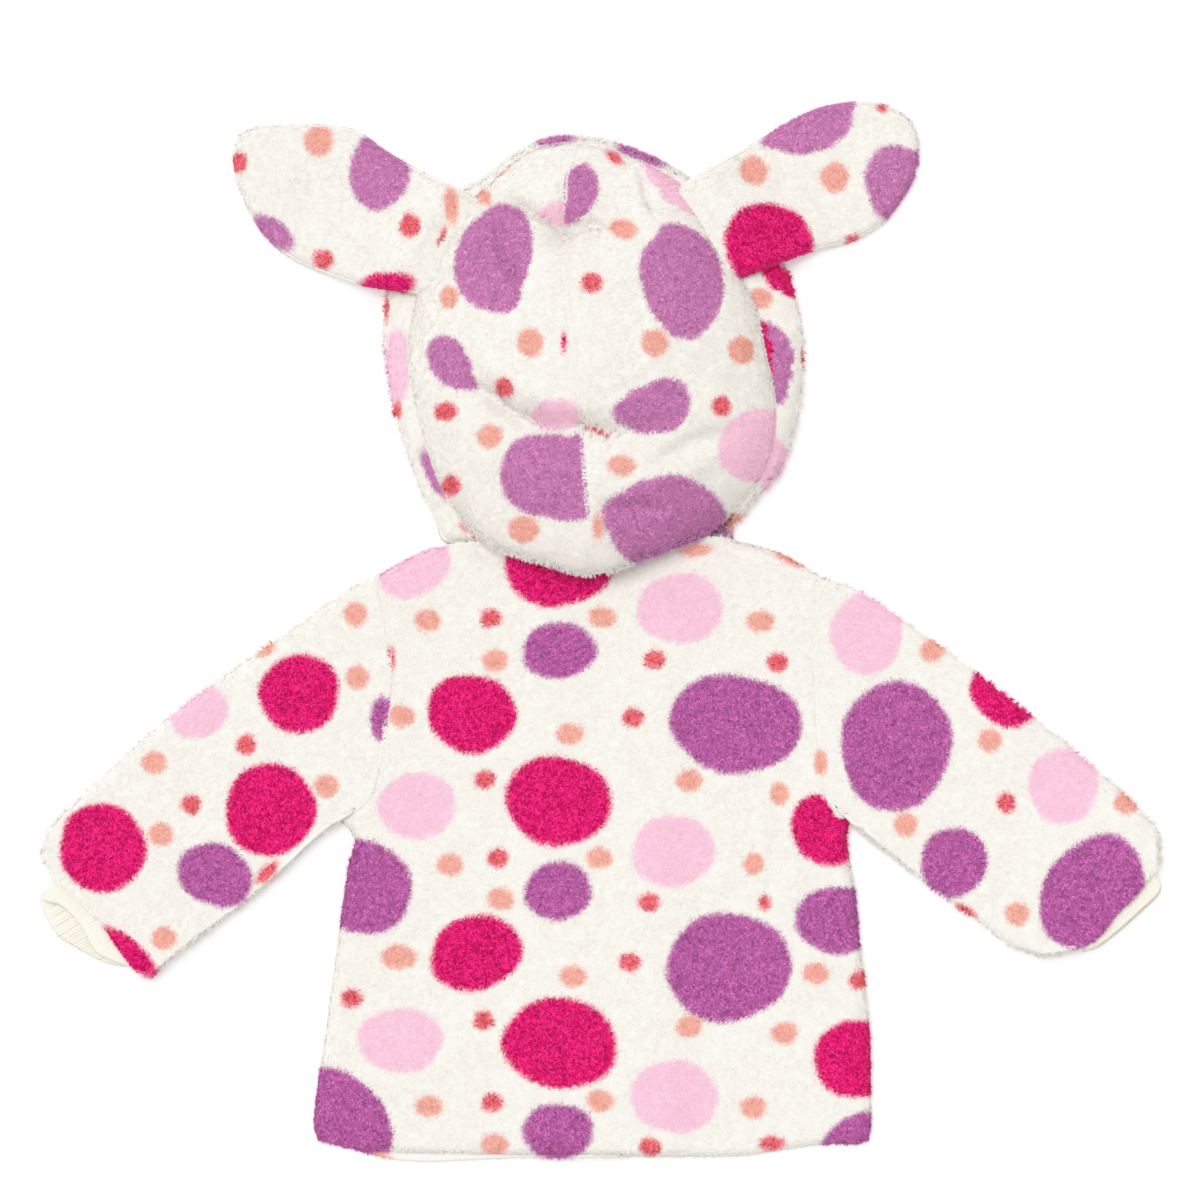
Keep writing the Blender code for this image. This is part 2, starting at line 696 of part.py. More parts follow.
def hem_distance(plan, which):
    line = smooth([(row.x, getattr(row, which)) for row in HEMS])
    return distance_to(plan.reshape(-1, 2), line)[0].reshape(plan.shape[:2])


def shoulder_points(side):
    """The shoulder seam's points from the armhole in, closer together at its fold."""
    line = shoulder_line(side)
    inner = np.linspace(SIDE_ROUND, lengths(line)[-1], SHOULDER_POINTS)
    return at_distances(line, np.concatenate((EDGE_STEPS, inner[1:])))


def build_back():
    left, right = body_edge(-1), body_edge(1)
    hem = smooth([(row.x, row.back) for row in HEMS])
    bottom = at_distances(hem, crowded(lengths(hem)[-1], HEM_SPANS))
    neck = back_neckline()
    neck = at_distances(neck, np.linspace(0.0, lengths(neck)[-1], NECK_POINTS))
    top = np.vstack((shoulder_points(-1), neck[1:-1], shoulder_points(1)[::-1]))
    plan = between(bottom, top, left, right)
    side_gap, hem_gap = edge_distance(plan), hem_distance(plan, "back")
    lap = lap_height(plan)
    rise = smoothstep(0.0, HEM_SAG_REACH, hem_gap) * (1.0 - lap / (FLEECE + SEAM_GAP))
    full = FLAT_HEIGHT - HEM_SAG + HEM_SAG * rise + lap
    middle = FLEECE + SEAM_GAP + RIM
    hem_round = HEM_EDGE + (1.0 - HEM_EDGE) * rounded(hem_gap, HEM_ROUND)
    height = middle + (full - middle) * rounded(side_gap, SIDE_ROUND) * hem_round
    floor = FLEECE + SEAM_GAP + lap
    inner_height = np.maximum(height - FLEECE, floor + np.where(lap > 0.0, SEAM_GAP, 0.0))
    inner_height = np.minimum(inner_height, height - RIM)
    return cloth_object("back", raised(plan, height), raised(plan, inner_height), "fleece")


def build_front(side):
    """One front. The wearer's left one (-X) laps over the right one's edge from above."""
    name = "front_left" if side < 0 else "front_right"
    lap_x = -side * LAP_HALF
    outer_edge = body_edge(side)
    hem = smooth([(row.x, row.front) for row in HEMS])
    if side > 0:
        hem = hem[::-1]
    lap_at = np.interp(lap_x * -side, hem[:, 0] * -side, lengths(hem))
    middle = np.linspace(SIDE_ROUND, lap_at, FRONT_HEM_POINTS)
    bottom = at_distances(hem, np.concatenate((EDGE_STEPS, middle[1:])))
    neck = front_neckline(side)
    neck = at_distances(neck, np.linspace(0.0, lengths(neck)[-1], FRONT_NECK_POINTS))
    top = np.vstack((shoulder_points(side), neck[1:]))
    share = lengths(outer_edge) / lengths(outer_edge)[-1]
    lap_edge = bottom[-1] + share[:, None] * (top[-1] - bottom[-1])
    plan = between(bottom, top, outer_edge, lap_edge)
    height = np.full(plan.shape[:2], FLEECE)
    lift = np.zeros(plan.shape[:2])
    if side < 0:
        lift = (FLEECE + SEAM_GAP) * (1.0 - smoothstep(*LAP_CLIMB, -plan[..., 0]))
    away = edge_distance(plan)
    under = np.minimum((FLEECE + RIM) * (1.0 - rounded(away, 0.8 * SIDE_ROUND)), FLEECE - RIM)
    return cloth_object(name, raised(plan, under + lift), raised(plan, height + lift), "fleece")


# Sleeves and cuffs ---------------------------------------------------------------


def sleeve_plan(side):
    """Plan points of a sleeve, a row for each ring and a column for each place across."""
    rows = SLEEVE_LEFT if side < 0 else SLEEVE_RIGHT
    end = smooth(SLEEVE_END_LEFT if side < 0 else SLEEVE_END_RIGHT)
    start = armhole_points(side)[::-1]
    shares = lengths(start) / lengths(start)[-1]
    finish = at_distances(end, shares * lengths(end)[-1])
    top = smooth([(row.top_x, row.top_y) for row in rows])
    under = smooth([(row.under_x, row.under_y) for row in rows])
    top = at_distances(top, SLEEVE_STEPS * lengths(top)[-1])
    under = at_distances(under, SLEEVE_STEPS * lengths(under)[-1])
    plan = between(start, finish, top, under)
    plan[0] += ARMHOLE_GAP * sideways(start, side)
    return plan, shares


def inset(line, margin):
    """The points of a line moved inward from both its ends by the same rule."""
    total = lengths(line)[-1]
    return at_distances(line, margin + lengths(line) * (1.0 - 2.0 * margin / total))


def build_sleeve(side):
    name = "sleeve_left" if side < 0 else "sleeve_right"
    plan, shares = sleeve_plan(side)
    width = lengths(armhole_points(side))[-1]
    from_edge = np.minimum(shares, 1.0 - shares) * width
    swell = rounded(from_edge, SIDE_ROUND)
    outer, inner = [], []
    for along, line in zip(SLEEVE_STEPS, plan):
        rise = smoothstep(SLEEVE_RISE_FROM, 1.0, along)
        half = (FLAT_HEIGHT + (SLEEVE_END_HEIGHT - FLAT_HEIGHT) * rise) / 2
        lining = inset(line, FLEECE)
        over = raised(line, half + half * swell)
        under = raised(line, half - half * swell)
        outer.append(np.vstack((over, under[-2:0:-1])))
        over = raised(lining, half + (half - FLEECE) * swell)
        under = raised(lining, half - (half - FLEECE) * swell)
        inner.append(np.vstack((over, under[-2:0:-1])))
    return cloth_object(name, np.array(outer), np.array(inner), "fleece", tube=True)


def build_cuff(side):
    """A rib tube: two rings inside the sleeve, one at its hem's outside, one at its lips."""
    name = "cuff_left" if side < 0 else "cuff_right"
    lips = CUFF_LEFT_LIPS if side < 0 else CUFF_RIGHT_LIPS
    plan, _ = sleeve_plan(side)
    hem, before = plan[-1], plan[-4]
    spots = np.linspace(*CUFF_SPAN, CUFF_POINTS)
    at_hem = at_distances(hem, spots * lengths(hem)[-1])
    inward = at_distances(before, spots * lengths(before)[-1]) - at_hem
    inward = inward / np.linalg.norm(inward, axis=1)[:, None]
    upper = smooth([(lip.upper_x, lip.upper_y) for lip in lips])
    lower = smooth([(lip.lower_x, lip.lower_y) for lip in lips])
    share = np.linspace(0.0, 1.0, CUFF_POINTS)
    upper = at_distances(upper, share * lengths(upper)[-1])
    lower = at_distances(lower, share * lengths(lower)[-1])
    rows = (
        (at_hem + CUFF_INSIDE * inward, at_hem + CUFF_INSIDE * inward),
        (at_hem, at_hem),
        ((at_hem + upper) / 2, (at_hem + lower) / 2),
        (upper, lower),
    )
    outer, inner = [], []
    for (over, under), ring in zip(rows, CUFF_HEIGHTS):
        width = lengths(over)[-1]
        swell = rounded(np.minimum(share, 1.0 - share) * width, CUFF_ROUND)
        half, middle = (ring.high - ring.low) / 2, (ring.high + ring.low) / 2
        lining_over, lining_under = inset(over, RIB), inset(under, RIB)
        top, base = raised(over, middle + half * swell), raised(under, middle - half * swell)
        outer.append(np.vstack((top, base[-2:0:-1])))
        half = half - RIB
        top = raised(lining_over, middle + half * swell)
        base = raised(lining_under, middle - half * swell)
        inner.append(np.vstack((top, base[-2:0:-1])))
    return cloth_object(name, np.array(outer), np.array(inner), "rib_knit", tube=True)


# Ears ----------------------------------------------------------------------------


def ear_plan(side):
    """Plan points of an ear, a row for each place from the hood out to the tip."""
    rows = EAR_LEFT if side == "left" else EAR_RIGHT
    start, end = EAR_BASES[side]
    base = []
    for bearing in np.linspace(start, end, 9):
        edge = rim_point(bearing)[:2] - HOOD_CENTRE
        base.append(HOOD_CENTRE + edge * (1.0 + EAR_BASE_GAP / np.linalg.norm(edge)))
    base = np.array(base)
    top = smooth([tuple(base[0])] + [(row.top_x, row.top_y) for row in rows])
    low = smooth([tuple(base[-1])] + [(row.low_x, row.low_y) for row in rows])
    outward = top[-1] + low[-1] - top[-8] - low[-8]
    bulge = (top[-1] + low[-1]) / 2 + EAR_TIP_BULGE * outward / np.linalg.norm(outward)
    tip = smooth([tuple(top[-1]), tuple(bulge), tuple(low[-1])])
    total = lengths(base)[-1]
    return between(
        at_distances(base, EAR_ACROSS * total),
        at_distances(tip, EAR_ACROSS * lengths(tip)[-1]),
        at_distances(top, EAR_ALONG * lengths(top)[-1]),
        at_distances(low, EAR_ALONG * lengths(low)[-1]),
    )


def build_ear(side):
    plan = ear_plan(side)
    flat = plan.reshape(-1, 2)
    shape = plan.shape[:2]
    outline = np.vstack((plan[:, 0], plan[-1, 1:], plan[-2::-1, -1]))
    away = distance_to(flat, outline)[0].reshape(shape)
    from_hood = distance_to(flat, plan[0])[0].reshape(shape)
    base = EAR_BASE_LIFT * (1.0 - smoothstep(0.0, EAR_SLOPE_RUN, from_hood))
    swell = rounded(away, EAR_ROUND)
    middle = FLEECE + EAR_LAY / 2
    puff = 1.0 + EAR_PUFF * smoothstep(EAR_ROUND, 3 * EAR_ROUND, away)
    over = base + middle + EAR_LAY / 2 + RIM + (FLEECE - RIM + puff) * swell
    over_inner = np.maximum(over - FLEECE, base + middle + EAR_LAY / 2)
    over_inner = np.minimum(over_inner, over - RIM)
    under = base + np.minimum((FLEECE - RIM) * (1.0 - swell), FLEECE - RIM)
    under_inner = base + FLEECE
    return [
        cloth_object(f"ear_{side}_back", raised(plan, over), raised(plan, over_inner), "fleece"),
        cloth_object(f"ear_{side}_front", raised(plan, under), raised(plan, under_inner), "fleece"),
    ]


# Studs ---------------------------------------------------------------------------


def turned(name, profile, finish, steps):
    """A shape turned round the Z axis from a profile that runs down its outer side."""
    mesh = bpy.data.meshes.new(name)
    points = [(radius * MM, 0.0, height * MM) for radius, height in profile]
    mesh.from_pydata(points, [(index, index + 1) for index in range(len(points) - 1)], [])
    item = bpy.data.objects.new(name, mesh)
    spin = item.modifiers.new("Turn", "SCREW")
    spin.steps = spin.render_steps = steps
    spin.use_merge_vertices = True
    spin.merge_threshold = 1e-5
    mesh.materials.append(material(name, finish))
    return item


def stud_profile(clearance):
    """The stud's outline, or with a clearance the outline of the hole that it fills."""
    cap, post = STUD_CAP_RADIUS + clearance, STUD_POST_RADIUS + clearance
    shoulder = STUD_CAP_THICK + clearance
    top = STUD_HEIGHT + 4 * clearance
    base = -4 * clearance
    return ((0, top), (post, top), (post, shoulder), (cap, shoulder), (cap, base), (0, base))


def build_studs(fronts):
    for index, place in enumerate(STUD_PLACES, 1):
        location = ((0.0 - ORIGIN[0]) * MM, (place - ORIGIN[1]) * MM, 0.0)
        stud = turned(f"stud_{index}", stud_profile(0.0), "stud_plastic", STUD_STEPS)
        stud.location = location
        bpy.data.collections[COLLECTION].objects.link(stud)
        hole = turned(f"stud_hole_{index}", stud_profile(SEAM_GAP), "stud_plastic", STUD_STEPS)
        hole.location = location
        hole.hide_render = True
        hole.display_type = "WIRE"
        bpy.data.collections[COLLECTION + "_cutters"].objects.link(hole)
        for front in fronts:
            cut = front.modifiers.new(f"Stud {index}", "BOOLEAN")
            cut.operation = "DIFFERENCE"
            cut.object = hole


def clear_scene():
    for item in list(bpy.data.objects):
        bpy.data.objects.remove(item, do_unlink=True)
    for name in (COLLECTION, COLLECTION + "_cutters"):
        group = bpy.data.collections.new(name)
        bpy.context.scene.collection.children.link(group)


def main():
    clear_scene()
    build_back()
    fronts = [build_front(-1), build_front(1)]
    build_studs(fronts)
    for side in (-1, 1):
        build_sleeve(side)
        build_cuff(side)
        build_crown(side)
    build_band()
    for side in ("left", "right"):
        build_ear(side)


main()
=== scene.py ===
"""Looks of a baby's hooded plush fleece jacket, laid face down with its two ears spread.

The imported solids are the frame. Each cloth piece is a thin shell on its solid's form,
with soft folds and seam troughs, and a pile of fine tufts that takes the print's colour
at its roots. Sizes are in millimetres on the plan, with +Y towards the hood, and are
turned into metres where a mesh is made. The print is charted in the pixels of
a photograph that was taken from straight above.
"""

import logging
import math
from collections.abc import Callable
from dataclasses import dataclass, field
from enum import Enum

import bpy
import numpy as np
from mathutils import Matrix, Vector


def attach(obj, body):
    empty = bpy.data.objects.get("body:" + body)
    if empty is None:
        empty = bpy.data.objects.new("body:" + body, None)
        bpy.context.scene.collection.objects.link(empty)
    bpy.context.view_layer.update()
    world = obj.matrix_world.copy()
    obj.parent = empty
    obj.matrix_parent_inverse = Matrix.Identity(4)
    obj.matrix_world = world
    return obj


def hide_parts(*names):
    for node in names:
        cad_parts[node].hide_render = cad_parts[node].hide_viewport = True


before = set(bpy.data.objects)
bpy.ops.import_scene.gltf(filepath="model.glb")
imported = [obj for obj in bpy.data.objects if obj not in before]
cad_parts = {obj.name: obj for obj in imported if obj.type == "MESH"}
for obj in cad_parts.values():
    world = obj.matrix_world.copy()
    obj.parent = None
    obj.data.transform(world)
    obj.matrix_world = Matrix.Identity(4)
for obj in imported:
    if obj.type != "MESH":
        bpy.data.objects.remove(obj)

Array = np.ndarray
Ink = Callable[[Array, Array], Array]  # the print's colours at points and normals
LOG = logging.getLogger("fleece_jacket")

MM = 0.001
PIXEL = 0.6  # millimetres for each pixel of the photograph
PHOTO_CENTRE = (600.5, 631.5)  # the pixel that is the plan tables' zero
ORIGIN = np.array((0.427, -0.043))  # plan point that becomes the frame's origin
BODY = "root"


class Side(Enum):
    """A side of the photograph."""

    LEFT = "left"
    RIGHT = "right"

    @property
    def sign(self) -> int:
        """-1 for the left, 1 for the right."""
        return -1 if self is Side.LEFT else 1


class Border(Enum):
    """An edge of a grid of cloth."""

    FIRST = "first row"
    LAST = "last row"
    START = "first column"
    END = "last column"


class Layer(Enum):
    """A layer of an ear, by the face of the jacket that it goes with."""

    BACK = "back"
    FRONT = "front"


ROW_BORDERS = (Border.FIRST, Border.LAST)
COLUMN_BORDERS = (Border.START, Border.END)
FAR_BORDERS = (Border.LAST, Border.END)


# Cloth
FLEECE = 4.0
PILE = 1.0  # how deep the tufts' roots lie under the cloth's outer face
TUCK = (0.5, 0.15)  # how far a seam's edge is turned out and in
ABOVE_TABLE = 0.06  # the least height of anything above the surface it lies on
KNIT = 1.5
RIB = 1.6
SEAM_GAP = 0.3
AIR = 2.4
LAY = 0.6
FLAT_HEIGHT = 2 * FLEECE + LAY + AIR
SIDE_ROUND = 10.0
SEAM_LEVEL = 4.15  # where the back meets the fronts along the sides
FINE = 3.4  # grid step on what shows
COARSE = 5.0  # grid step on what faces the surface below

# The tables of the solids' source

# Body: y, left x and right x of the side edges, from the hem up to the underarm
SIDES = (
    (-305, -169.5, 160.5), (-296, -172, 162.4), (-277, -170.6, 162.3), (-243, -165.5, 161.7),
    (-213, -161.6, 159.3), (-186, -157.8, 155.6), (-162, -154.6, 153.6), (-141, -151.4, 150.2),
    (-124, -147.6, 147.8), (-113.5, -156.5, 149.9),
)
ARMHOLES = (
    (-113.5, -156.5, 149.9), (-101, -140.3, 137), (-85, -134.4, 133.8), (-58, -129.2, 130.2),
    (-11, -126, 129), (34, -133.5, 131.1),
)
# x, and the y of the back's and the fronts' hem
HEMS = (
    (-169.5, -305, -305), (-150, -309.8, -309.8), (-127, -311.6, -316), (-105, -312.2, -318),
    (-80, -312.6, -317), (-40, -313.4, -315.5), (20, -314.5, -315), (80, -314, -314.6), (107, -310.6, -311),
    (133, -306.8, -307.4), (152, -306.7, -307), (160.5, -305, -305),
)
SHOULDERS = {
    Side.LEFT: ((-133.5, 34), (-118, 43), (-102.3, 50)),
    Side.RIGHT: ((131.1, 34), (118.5, 41.5), (103.5, 49)),
}
HEM_SAG = 2.2
HEM_SAG_REACH = 60.0
HEM_EDGE = 0.3
HEM_ROUND = 7.0
LAP_HALF = 12.0
LAP_CLIMB = (29, 47)
LAP_LIFT = (34, 62)
LAP_NECK = (16, 40)
NECK_BACK_INSET = 1.0
NECK_FRONT_GAP = 0.6

# Sleeves: the upper fold's x and y, and the underarm fold's, from the armhole down
SLEEVES = {
    Side.LEFT: (
        (-133.5, 34, -156.5, -113.5), (-154.5, 23.8, -163, -117.6), (-184, 3.2, -171, -123),
        (-215, -18.2, -181.5, -132.6), (-248, -42, -197, -148.6), (-280, -68.2, -218, -166.5),
        (-308, -95.2, -240, -182.6), (-328, -113.8, -256, -195.4), (-334.8, -128, -264, -201.8),
        (-333.4, -140, -269, -206),
    ),
    Side.RIGHT: (
        (131.1, 34, 149.9, -113.5), (157, 24, 158.5, -122), (186, 4.4, 170.5, -131.8),
        (215, -16.6, 187, -145), (245, -39.2, 205, -158.4), (272, -60.6, 222.5, -171.4),
        (300, -84, 241, -186.2), (323, -106, 256, -192.8), (334, -119, 267, -194.6),
        (335.6, -138, 281, -191.2),
    ),
}
SLEEVE_ENDS = {
    Side.LEFT: (
        (-333.4, -140), (-326, -147.6), (-312.3, -160.5), (-298, -174.5), (-287, -189.8), (-273.6, -206.6),
        (-269, -206),
    ),
    Side.RIGHT: (
        (335.6, -138), (328.5, -145.5), (320, -157), (308.5, -167.8), (301, -178.4), (292.5, -185.6),
        (281, -191.2),
    ),
}
SLEEVE_STEPS = np.array((0, 0.11, 0.22, 0.33, 0.44, 0.55, 0.66, 0.76, 0.85, 0.92, 0.965, 1))
SLEEVE_RISE_FROM = 0.6
SLEEVE_END_HEIGHT = 14.0

# Cuffs: the upper lip's x and y and the lower lip's, from fold to fold
CUFF_LIPS = {
    Side.LEFT: (
        (-332.5, -154, -332.5, -154), (-334, -160.6, -335.4, -164), (-324, -163.4, -326.5, -181),
        (-314.8, -171.4, -317.6, -187.6), (-308.2, -181, -307.8, -193), (-302, -191.6, -297.6, -197.6),
        (-286, -199.6, -286, -199.6),
    ),
    Side.RIGHT: (
        (336, -151, 336, -151), (333.2, -157.4, 334, -158), (323.6, -166.4, 324.6, -167.2),
        (315.8, -173.6, 316.8, -174.4), (307.8, -180.4, 308.6, -181.2), (297.6, -188, 298, -188.8),
        (288.6, -191.4, 288.6, -191.4),
    ),
}
CUFF_INSIDE = 14.0
CUFF_SPAN = (0.085, 0.865)
CUFF_HEIGHTS = ((4.5, 9.5), (4.5, 9.5), (3.2, 9), (1.2, 8.2))
CUFF_ROUND = 5.0

# Hood: crown reach, band reach, turn and rim height, every 15 degrees from +X
HOOD_CENTRE = np.array((-5, 164))
HOOD_TOP = 62.0
HOOD_STEP = 15.0
CROWN_REACH = 125.0  # from its top to its edge, about
HOOD = np.array(
    (
        (105, 126.5, 75, 20), (102.5, 127, 75, 20), (102, 128, 75, 20), (106.5, 124.5, 75, 20),
        (116.5, 122.6, 75, 20), (122.5, 126, 75, 20), (128, 131.2, 75, 20), (128, 132.4, 75, 20),
        (120.5, 126.5, 75, 20), (116.5, 130.5, 75, 20), (113, 130.5, 75, 20), (111.5, 128.5, 75, 20),
        (110.8, 124.4, 75, 20), (110.3, 122.8, 75, 20), (114, 126.2, 75, 19), (122, 136, 76, 15),
        (128, 150, 93, 11.6), (127, 154, 111, 11.4), (130.5, 155, 118, 11.4), (123.5, 154, 108, 11.4),
        (125.5, 146, 93, 11.6), (125.5, 131, 76, 15), (123, 131, 75, 19), (114.3, 128.5, 75, 20),
    )
)
SEAM_WANDER = np.array(
    ((-1, 5), (-0.7, 1), (-0.4, -2.5), (-0.1, -8), (0.3, -17), (0.7, -15.5), (1, -9))
)
NECK_FLAT = {Side.LEFT: (240, 246), Side.RIGHT: (226, 233)}
NECK_TAPER = ((231, 0), (240, -20.5))  # the left corner: how much less the band reaches
NECK_CORNER = 232.0
FRONT_PART = 0.5
# The band's section: share of its width less an inset, share of the rim height plus one
BAND_OUTER = (
    (0.6, 0, 0.78, 0), (1, 0, 0.42, 0), (1, 0.4, 0, 3), (1, 4, 0, 0), (1, 24, 0, 0),
)

# Ears: the upper edge's x and y and the lower edge's, from the hood out
EARS = {
    Side.LEFT: (
        (-110, 277, -128, 204.2), (-127, 287.2, -146, 207.8), (-147, 300.6, -170.7, 216.4),
        (-166, 303.9, -185, 223.2), (-184, 304.2, -197, 232.4), (-198, 303.8, -206, 243),
        (-209, 302.2, -213.6, 257), (-217, 297.6, -219, 271),
    ),
    Side.RIGHT: (
        (75, 283, 106, 219.6), (93, 293.2, 127.5, 227.6), (109, 303.6, 148, 232.6),
        (129.3, 313.6, 161, 238.6), (149.7, 317.6, 172, 247), (167, 317, 181, 259), (179, 312.6, 187.4, 270),
        (186.6, 306, 190.2, 281),
    ),
}
EAR_ACROSS = np.array((0, 0.035, 0.11, 0.3, 0.5, 0.7, 0.89, 0.965, 1))
EAR_ALONG = np.array((0, 0.08, 0.17, 0.28, 0.4, 0.54, 0.68, 0.8, 0.9, 0.96, 1))
EAR_TIP_BULGE = 3.0
EAR_PUFF = 1.2
EAR_BASES = {Side.LEFT: (125, 160), Side.RIGHT: (63, 28)}
EAR_INSET = 6.0  # how far an ear runs in under the crown's pile
EAR_BASE_LIFT = 20.7
EAR_SLOPE_RUN = 62.0
EAR_ROUND = 7.0
EAR_LAY = 0.3

# Folds: x, y and depth along each crease's line, and its width. A ridge has depth < 0
BROW_CREASE = ((-66, 259, 0), (-50, 252.5, 5), (-36, 248, 8), (-21, 241, 10), (-2, 247, 7.5), (24, 256, 0))
NAPE_CREASE = (
    (-92, 153, 0), (-72, 145, 5), (-58, 132, 8), (-40, 120.5, 9), (-12, 117, 9), (20, 117.5, 6.5),
    (58, 129, 0),
)
CREASE_WIDTH = 13.0


class Tone(Enum):
    """The print's colours, as linear red, green and blue."""

    GROUND = (0.950, 0.920, 0.862)
    MAGENTA = (0.915, 0.0090, 0.187)
    ORCHID = (0.540, 0.127, 0.406)
    LILAC = (0.632, 0.228, 0.490)
    PINK = (1.0, 0.640, 0.775)
    SALMON = (0.953, 0.464, 0.380)
    CORAL = (0.946, 0.149, 0.183)


SMALL = {Tone.SALMON: (12.2, 11.6), Tone.CORAL: (10.0, 10.0)}
BACK_SMALL = {Tone.SALMON: (13.4, 10.8), Tone.CORAL: (10.8, 9.4)}

# The print, piece by piece: a dot's centre in the photograph, its half width, half
# height and tilt in degrees. A small dot that gives its centre alone has SMALL's size,
# and a dot that a fold or a seam cuts gives points round its outline.
BACK_DOTS = {
    Tone.MAGENTA: (
        (559, 565, 54, 42), (472, 713, 45, 39), (558, 800, 53, 45), (476, 952, 46, 38, 12),
        (560, 1042, 57, 46),
        (
            (790, 821), (794, 808), (802, 798), (815, 793), (824, 797), (829, 806), (834, 816), (841, 818),
            (852, 815), (849, 826), (848, 845), (848, 862), (833, 865), (815, 862), (802, 854), (794, 839),
        ),
        (858, 1058, 47, 38),
    ),
    Tone.ORCHID: (
        (559, 650, 37, 28), (558, 890, 34, 29), (558, 1130, 36, 28), (735, 723, 65, 50, -3),
        (728, 966, 63, 54, -3), (360, 885, 53, 47, -20),
        (
            (305, 1085), (322, 1066), (337, 1067), (356, 1077), (373, 1092), (386, 1109), (392, 1126),
            (392, 1146), (380, 1158), (350, 1166), (310, 1156), (298, 1120),
        ),
        (836, 919, 42, 33), (861, 1147, 42, 34, 20), (565, 566, 18, 6, -8),
    ),
    Tone.PINK: (
        (680, 608, 42, 36), (673, 850, 42, 35), (674, 1095, 43, 37), (417, 805, 38, 34),
        (401, 1039, 43, 32, 4), (414, 568, 40, 27, 20),
    ),
    Tone.SALMON: (
        (428, 620), (495, 660), (602, 617), (760, 621), (570, 733), (689, 780), (599, 857), (501, 898),
        (450, 864), (779, 793, 9.5, 11.5), (753, 863, 10, 11), (399, 956, 18, 12), (573, 975), (429, 1105),
        (495, 1143), (600, 1099), (689, 1025), (784, 1032), (753, 1106), (815, 972), (402, 716),
        (820, 762, 7, 12), (380, 1158, 10, 7), (790, 558, 15, 7, -25), (696, 550, 16, 6, 8),
    ),
    Tone.CORAL: (
        (491, 618), (654, 659), (777, 662), (633, 717), (485, 779), (498, 857), (649, 901), (764, 902, 6, 8),
        (630, 961), (352, 997), (484, 1019), (492, 1101), (650, 1145), (771, 1142, 13, 7), (859, 979),
        (390, 659, 6, 12),
    ),
}
SLEEVE_DOTS = {
    Side.LEFT: {
        Tone.MAGENTA: (
            (300, 693, 41, 39), (271, 809, 44, 48, -25), (104, 847, 45, 43, -35), (130, 950, 36, 12, -42),
        ),
        Tone.ORCHID: ((216, 874, 38, 31, -30), (383, 719, 12, 23)),
        Tone.PINK: ((199, 710, 31, 27, 20),),
        Tone.SALMON: (
            (356, 614), (358, 677), (327, 785), (155, 762), (162, 833), (165, 937), (266, 647, 11, 8, 35),
        ),
        Tone.CORAL: ((247, 744), (192, 804), (268, 871, 14, 6, 45)),
    },
    Side.RIGHT: {
        Tone.PINK: ((866, 633, 37, 41), (1062, 785, 34, 39)),
        Tone.ORCHID: ((895, 745, 56, 64, -12), (953, 861, 34, 34, 25), (1091, 892, 48, 62, -28)),
        Tone.MAGENTA: ((1003, 694, 36, 30, -35),),
        Tone.SALMON: ((931, 650), (989, 740), (905, 824), (1016, 913), (1125, 802), (820, 762, 7, 12)),
        Tone.CORAL: ((1005, 802), (964, 911, 12, 6, -30)),
    },
}
HOOD_DOTS = {
    Side.LEFT: {
        Tone.LILAC: (
            (
                (500, 206), (522, 213), (531, 232), (533, 250), (529, 272), (522, 291), (519, 310),
                (508, 317), (488, 314), (468, 303), (457, 284), (456, 262), (463, 240), (480, 220),
            ),
            (
                (439, 338), (453, 340), (466, 357), (473, 377), (480, 391), (468, 392), (453, 389),
                (439, 379), (430, 364), (429, 347),
            ),
            (
                (519, 440), (541, 437), (566, 439), (598, 438), (600, 462), (602, 487), (604, 509),
                (590, 519), (571, 521), (546, 517), (522, 511), (506, 497), (501, 477), (505, 457),
            ),
            (553, 140, 26, 8, 12),
        ),
        Tone.PINK: (
            ((531, 418), (538, 408), (556, 403), (572, 405), (581, 413), (578, 425), (560, 430), (540, 428)),
            ((538, 217), (548, 210), (570, 209), (570, 230), (556, 226), (546, 221)),
        ),
        Tone.SALMON: (
            (485, 200, 7, 9, 30), (450, 300, 9, 12), (531, 346, 13, 14), (491, 438), (524, 530, 16, 13),
        ),
        Tone.CORAL: ((505, 390, 10, 9, -40), (447, 413, 12, 9), (452, 486), (501, 171, 10, 4, 35)),
        Tone.MAGENTA: ((564, 346, 2.5, 10),),
    },
    Side.RIGHT: {
        Tone.LILAC: (
            (
                (662, 228), (683, 228), (703, 240), (717, 259), (722, 281), (720, 306), (710, 327),
                (693, 342), (673, 340), (656, 322), (644, 296), (639, 272), (644, 252), (654, 242),
            ),
            (
                (611, 414), (624, 401), (646, 389), (668, 381), (683, 387), (689, 403), (686, 418),
                (673, 431), (654, 434), (629, 430), (615, 423),
            ),
            (
                (601, 510), (624, 492), (649, 480), (673, 476), (698, 485), (717, 499), (726, 514),
                (720, 531), (703, 541), (673, 551), (649, 558), (632, 562), (619, 553), (609, 536),
            ),
            (
                (568, 178), (585, 166), (595, 176), (598, 193), (591, 210), (578, 223), (558, 231),
                (556, 200),
            ),
        ),
        Tone.PINK: (
            (
                (717, 452), (722, 433), (737, 418), (756, 411), (778, 411), (776, 433), (772, 463),
                (760, 484), (735, 477), (720, 467),
            ),
            ((645, 164), (659, 163), (676, 175), (692, 191), (705, 214), (694, 218), (676, 208), (659, 193)),
        ),
        Tone.SALMON: (
            (654, 346, 14, 13), (740, 352, 13, 14), (623, 233, 14, 10, -10), (621, 467, 14, 10, -12),
            (598, 528, 5, 13), (697, 548, 20, 7, 12),
        ),
        Tone.CORAL: ((592, 287, 11, 10), (720, 408), (598, 433, 13, 3, -24), (614, 160, 10, 5, -35)),
    },
}
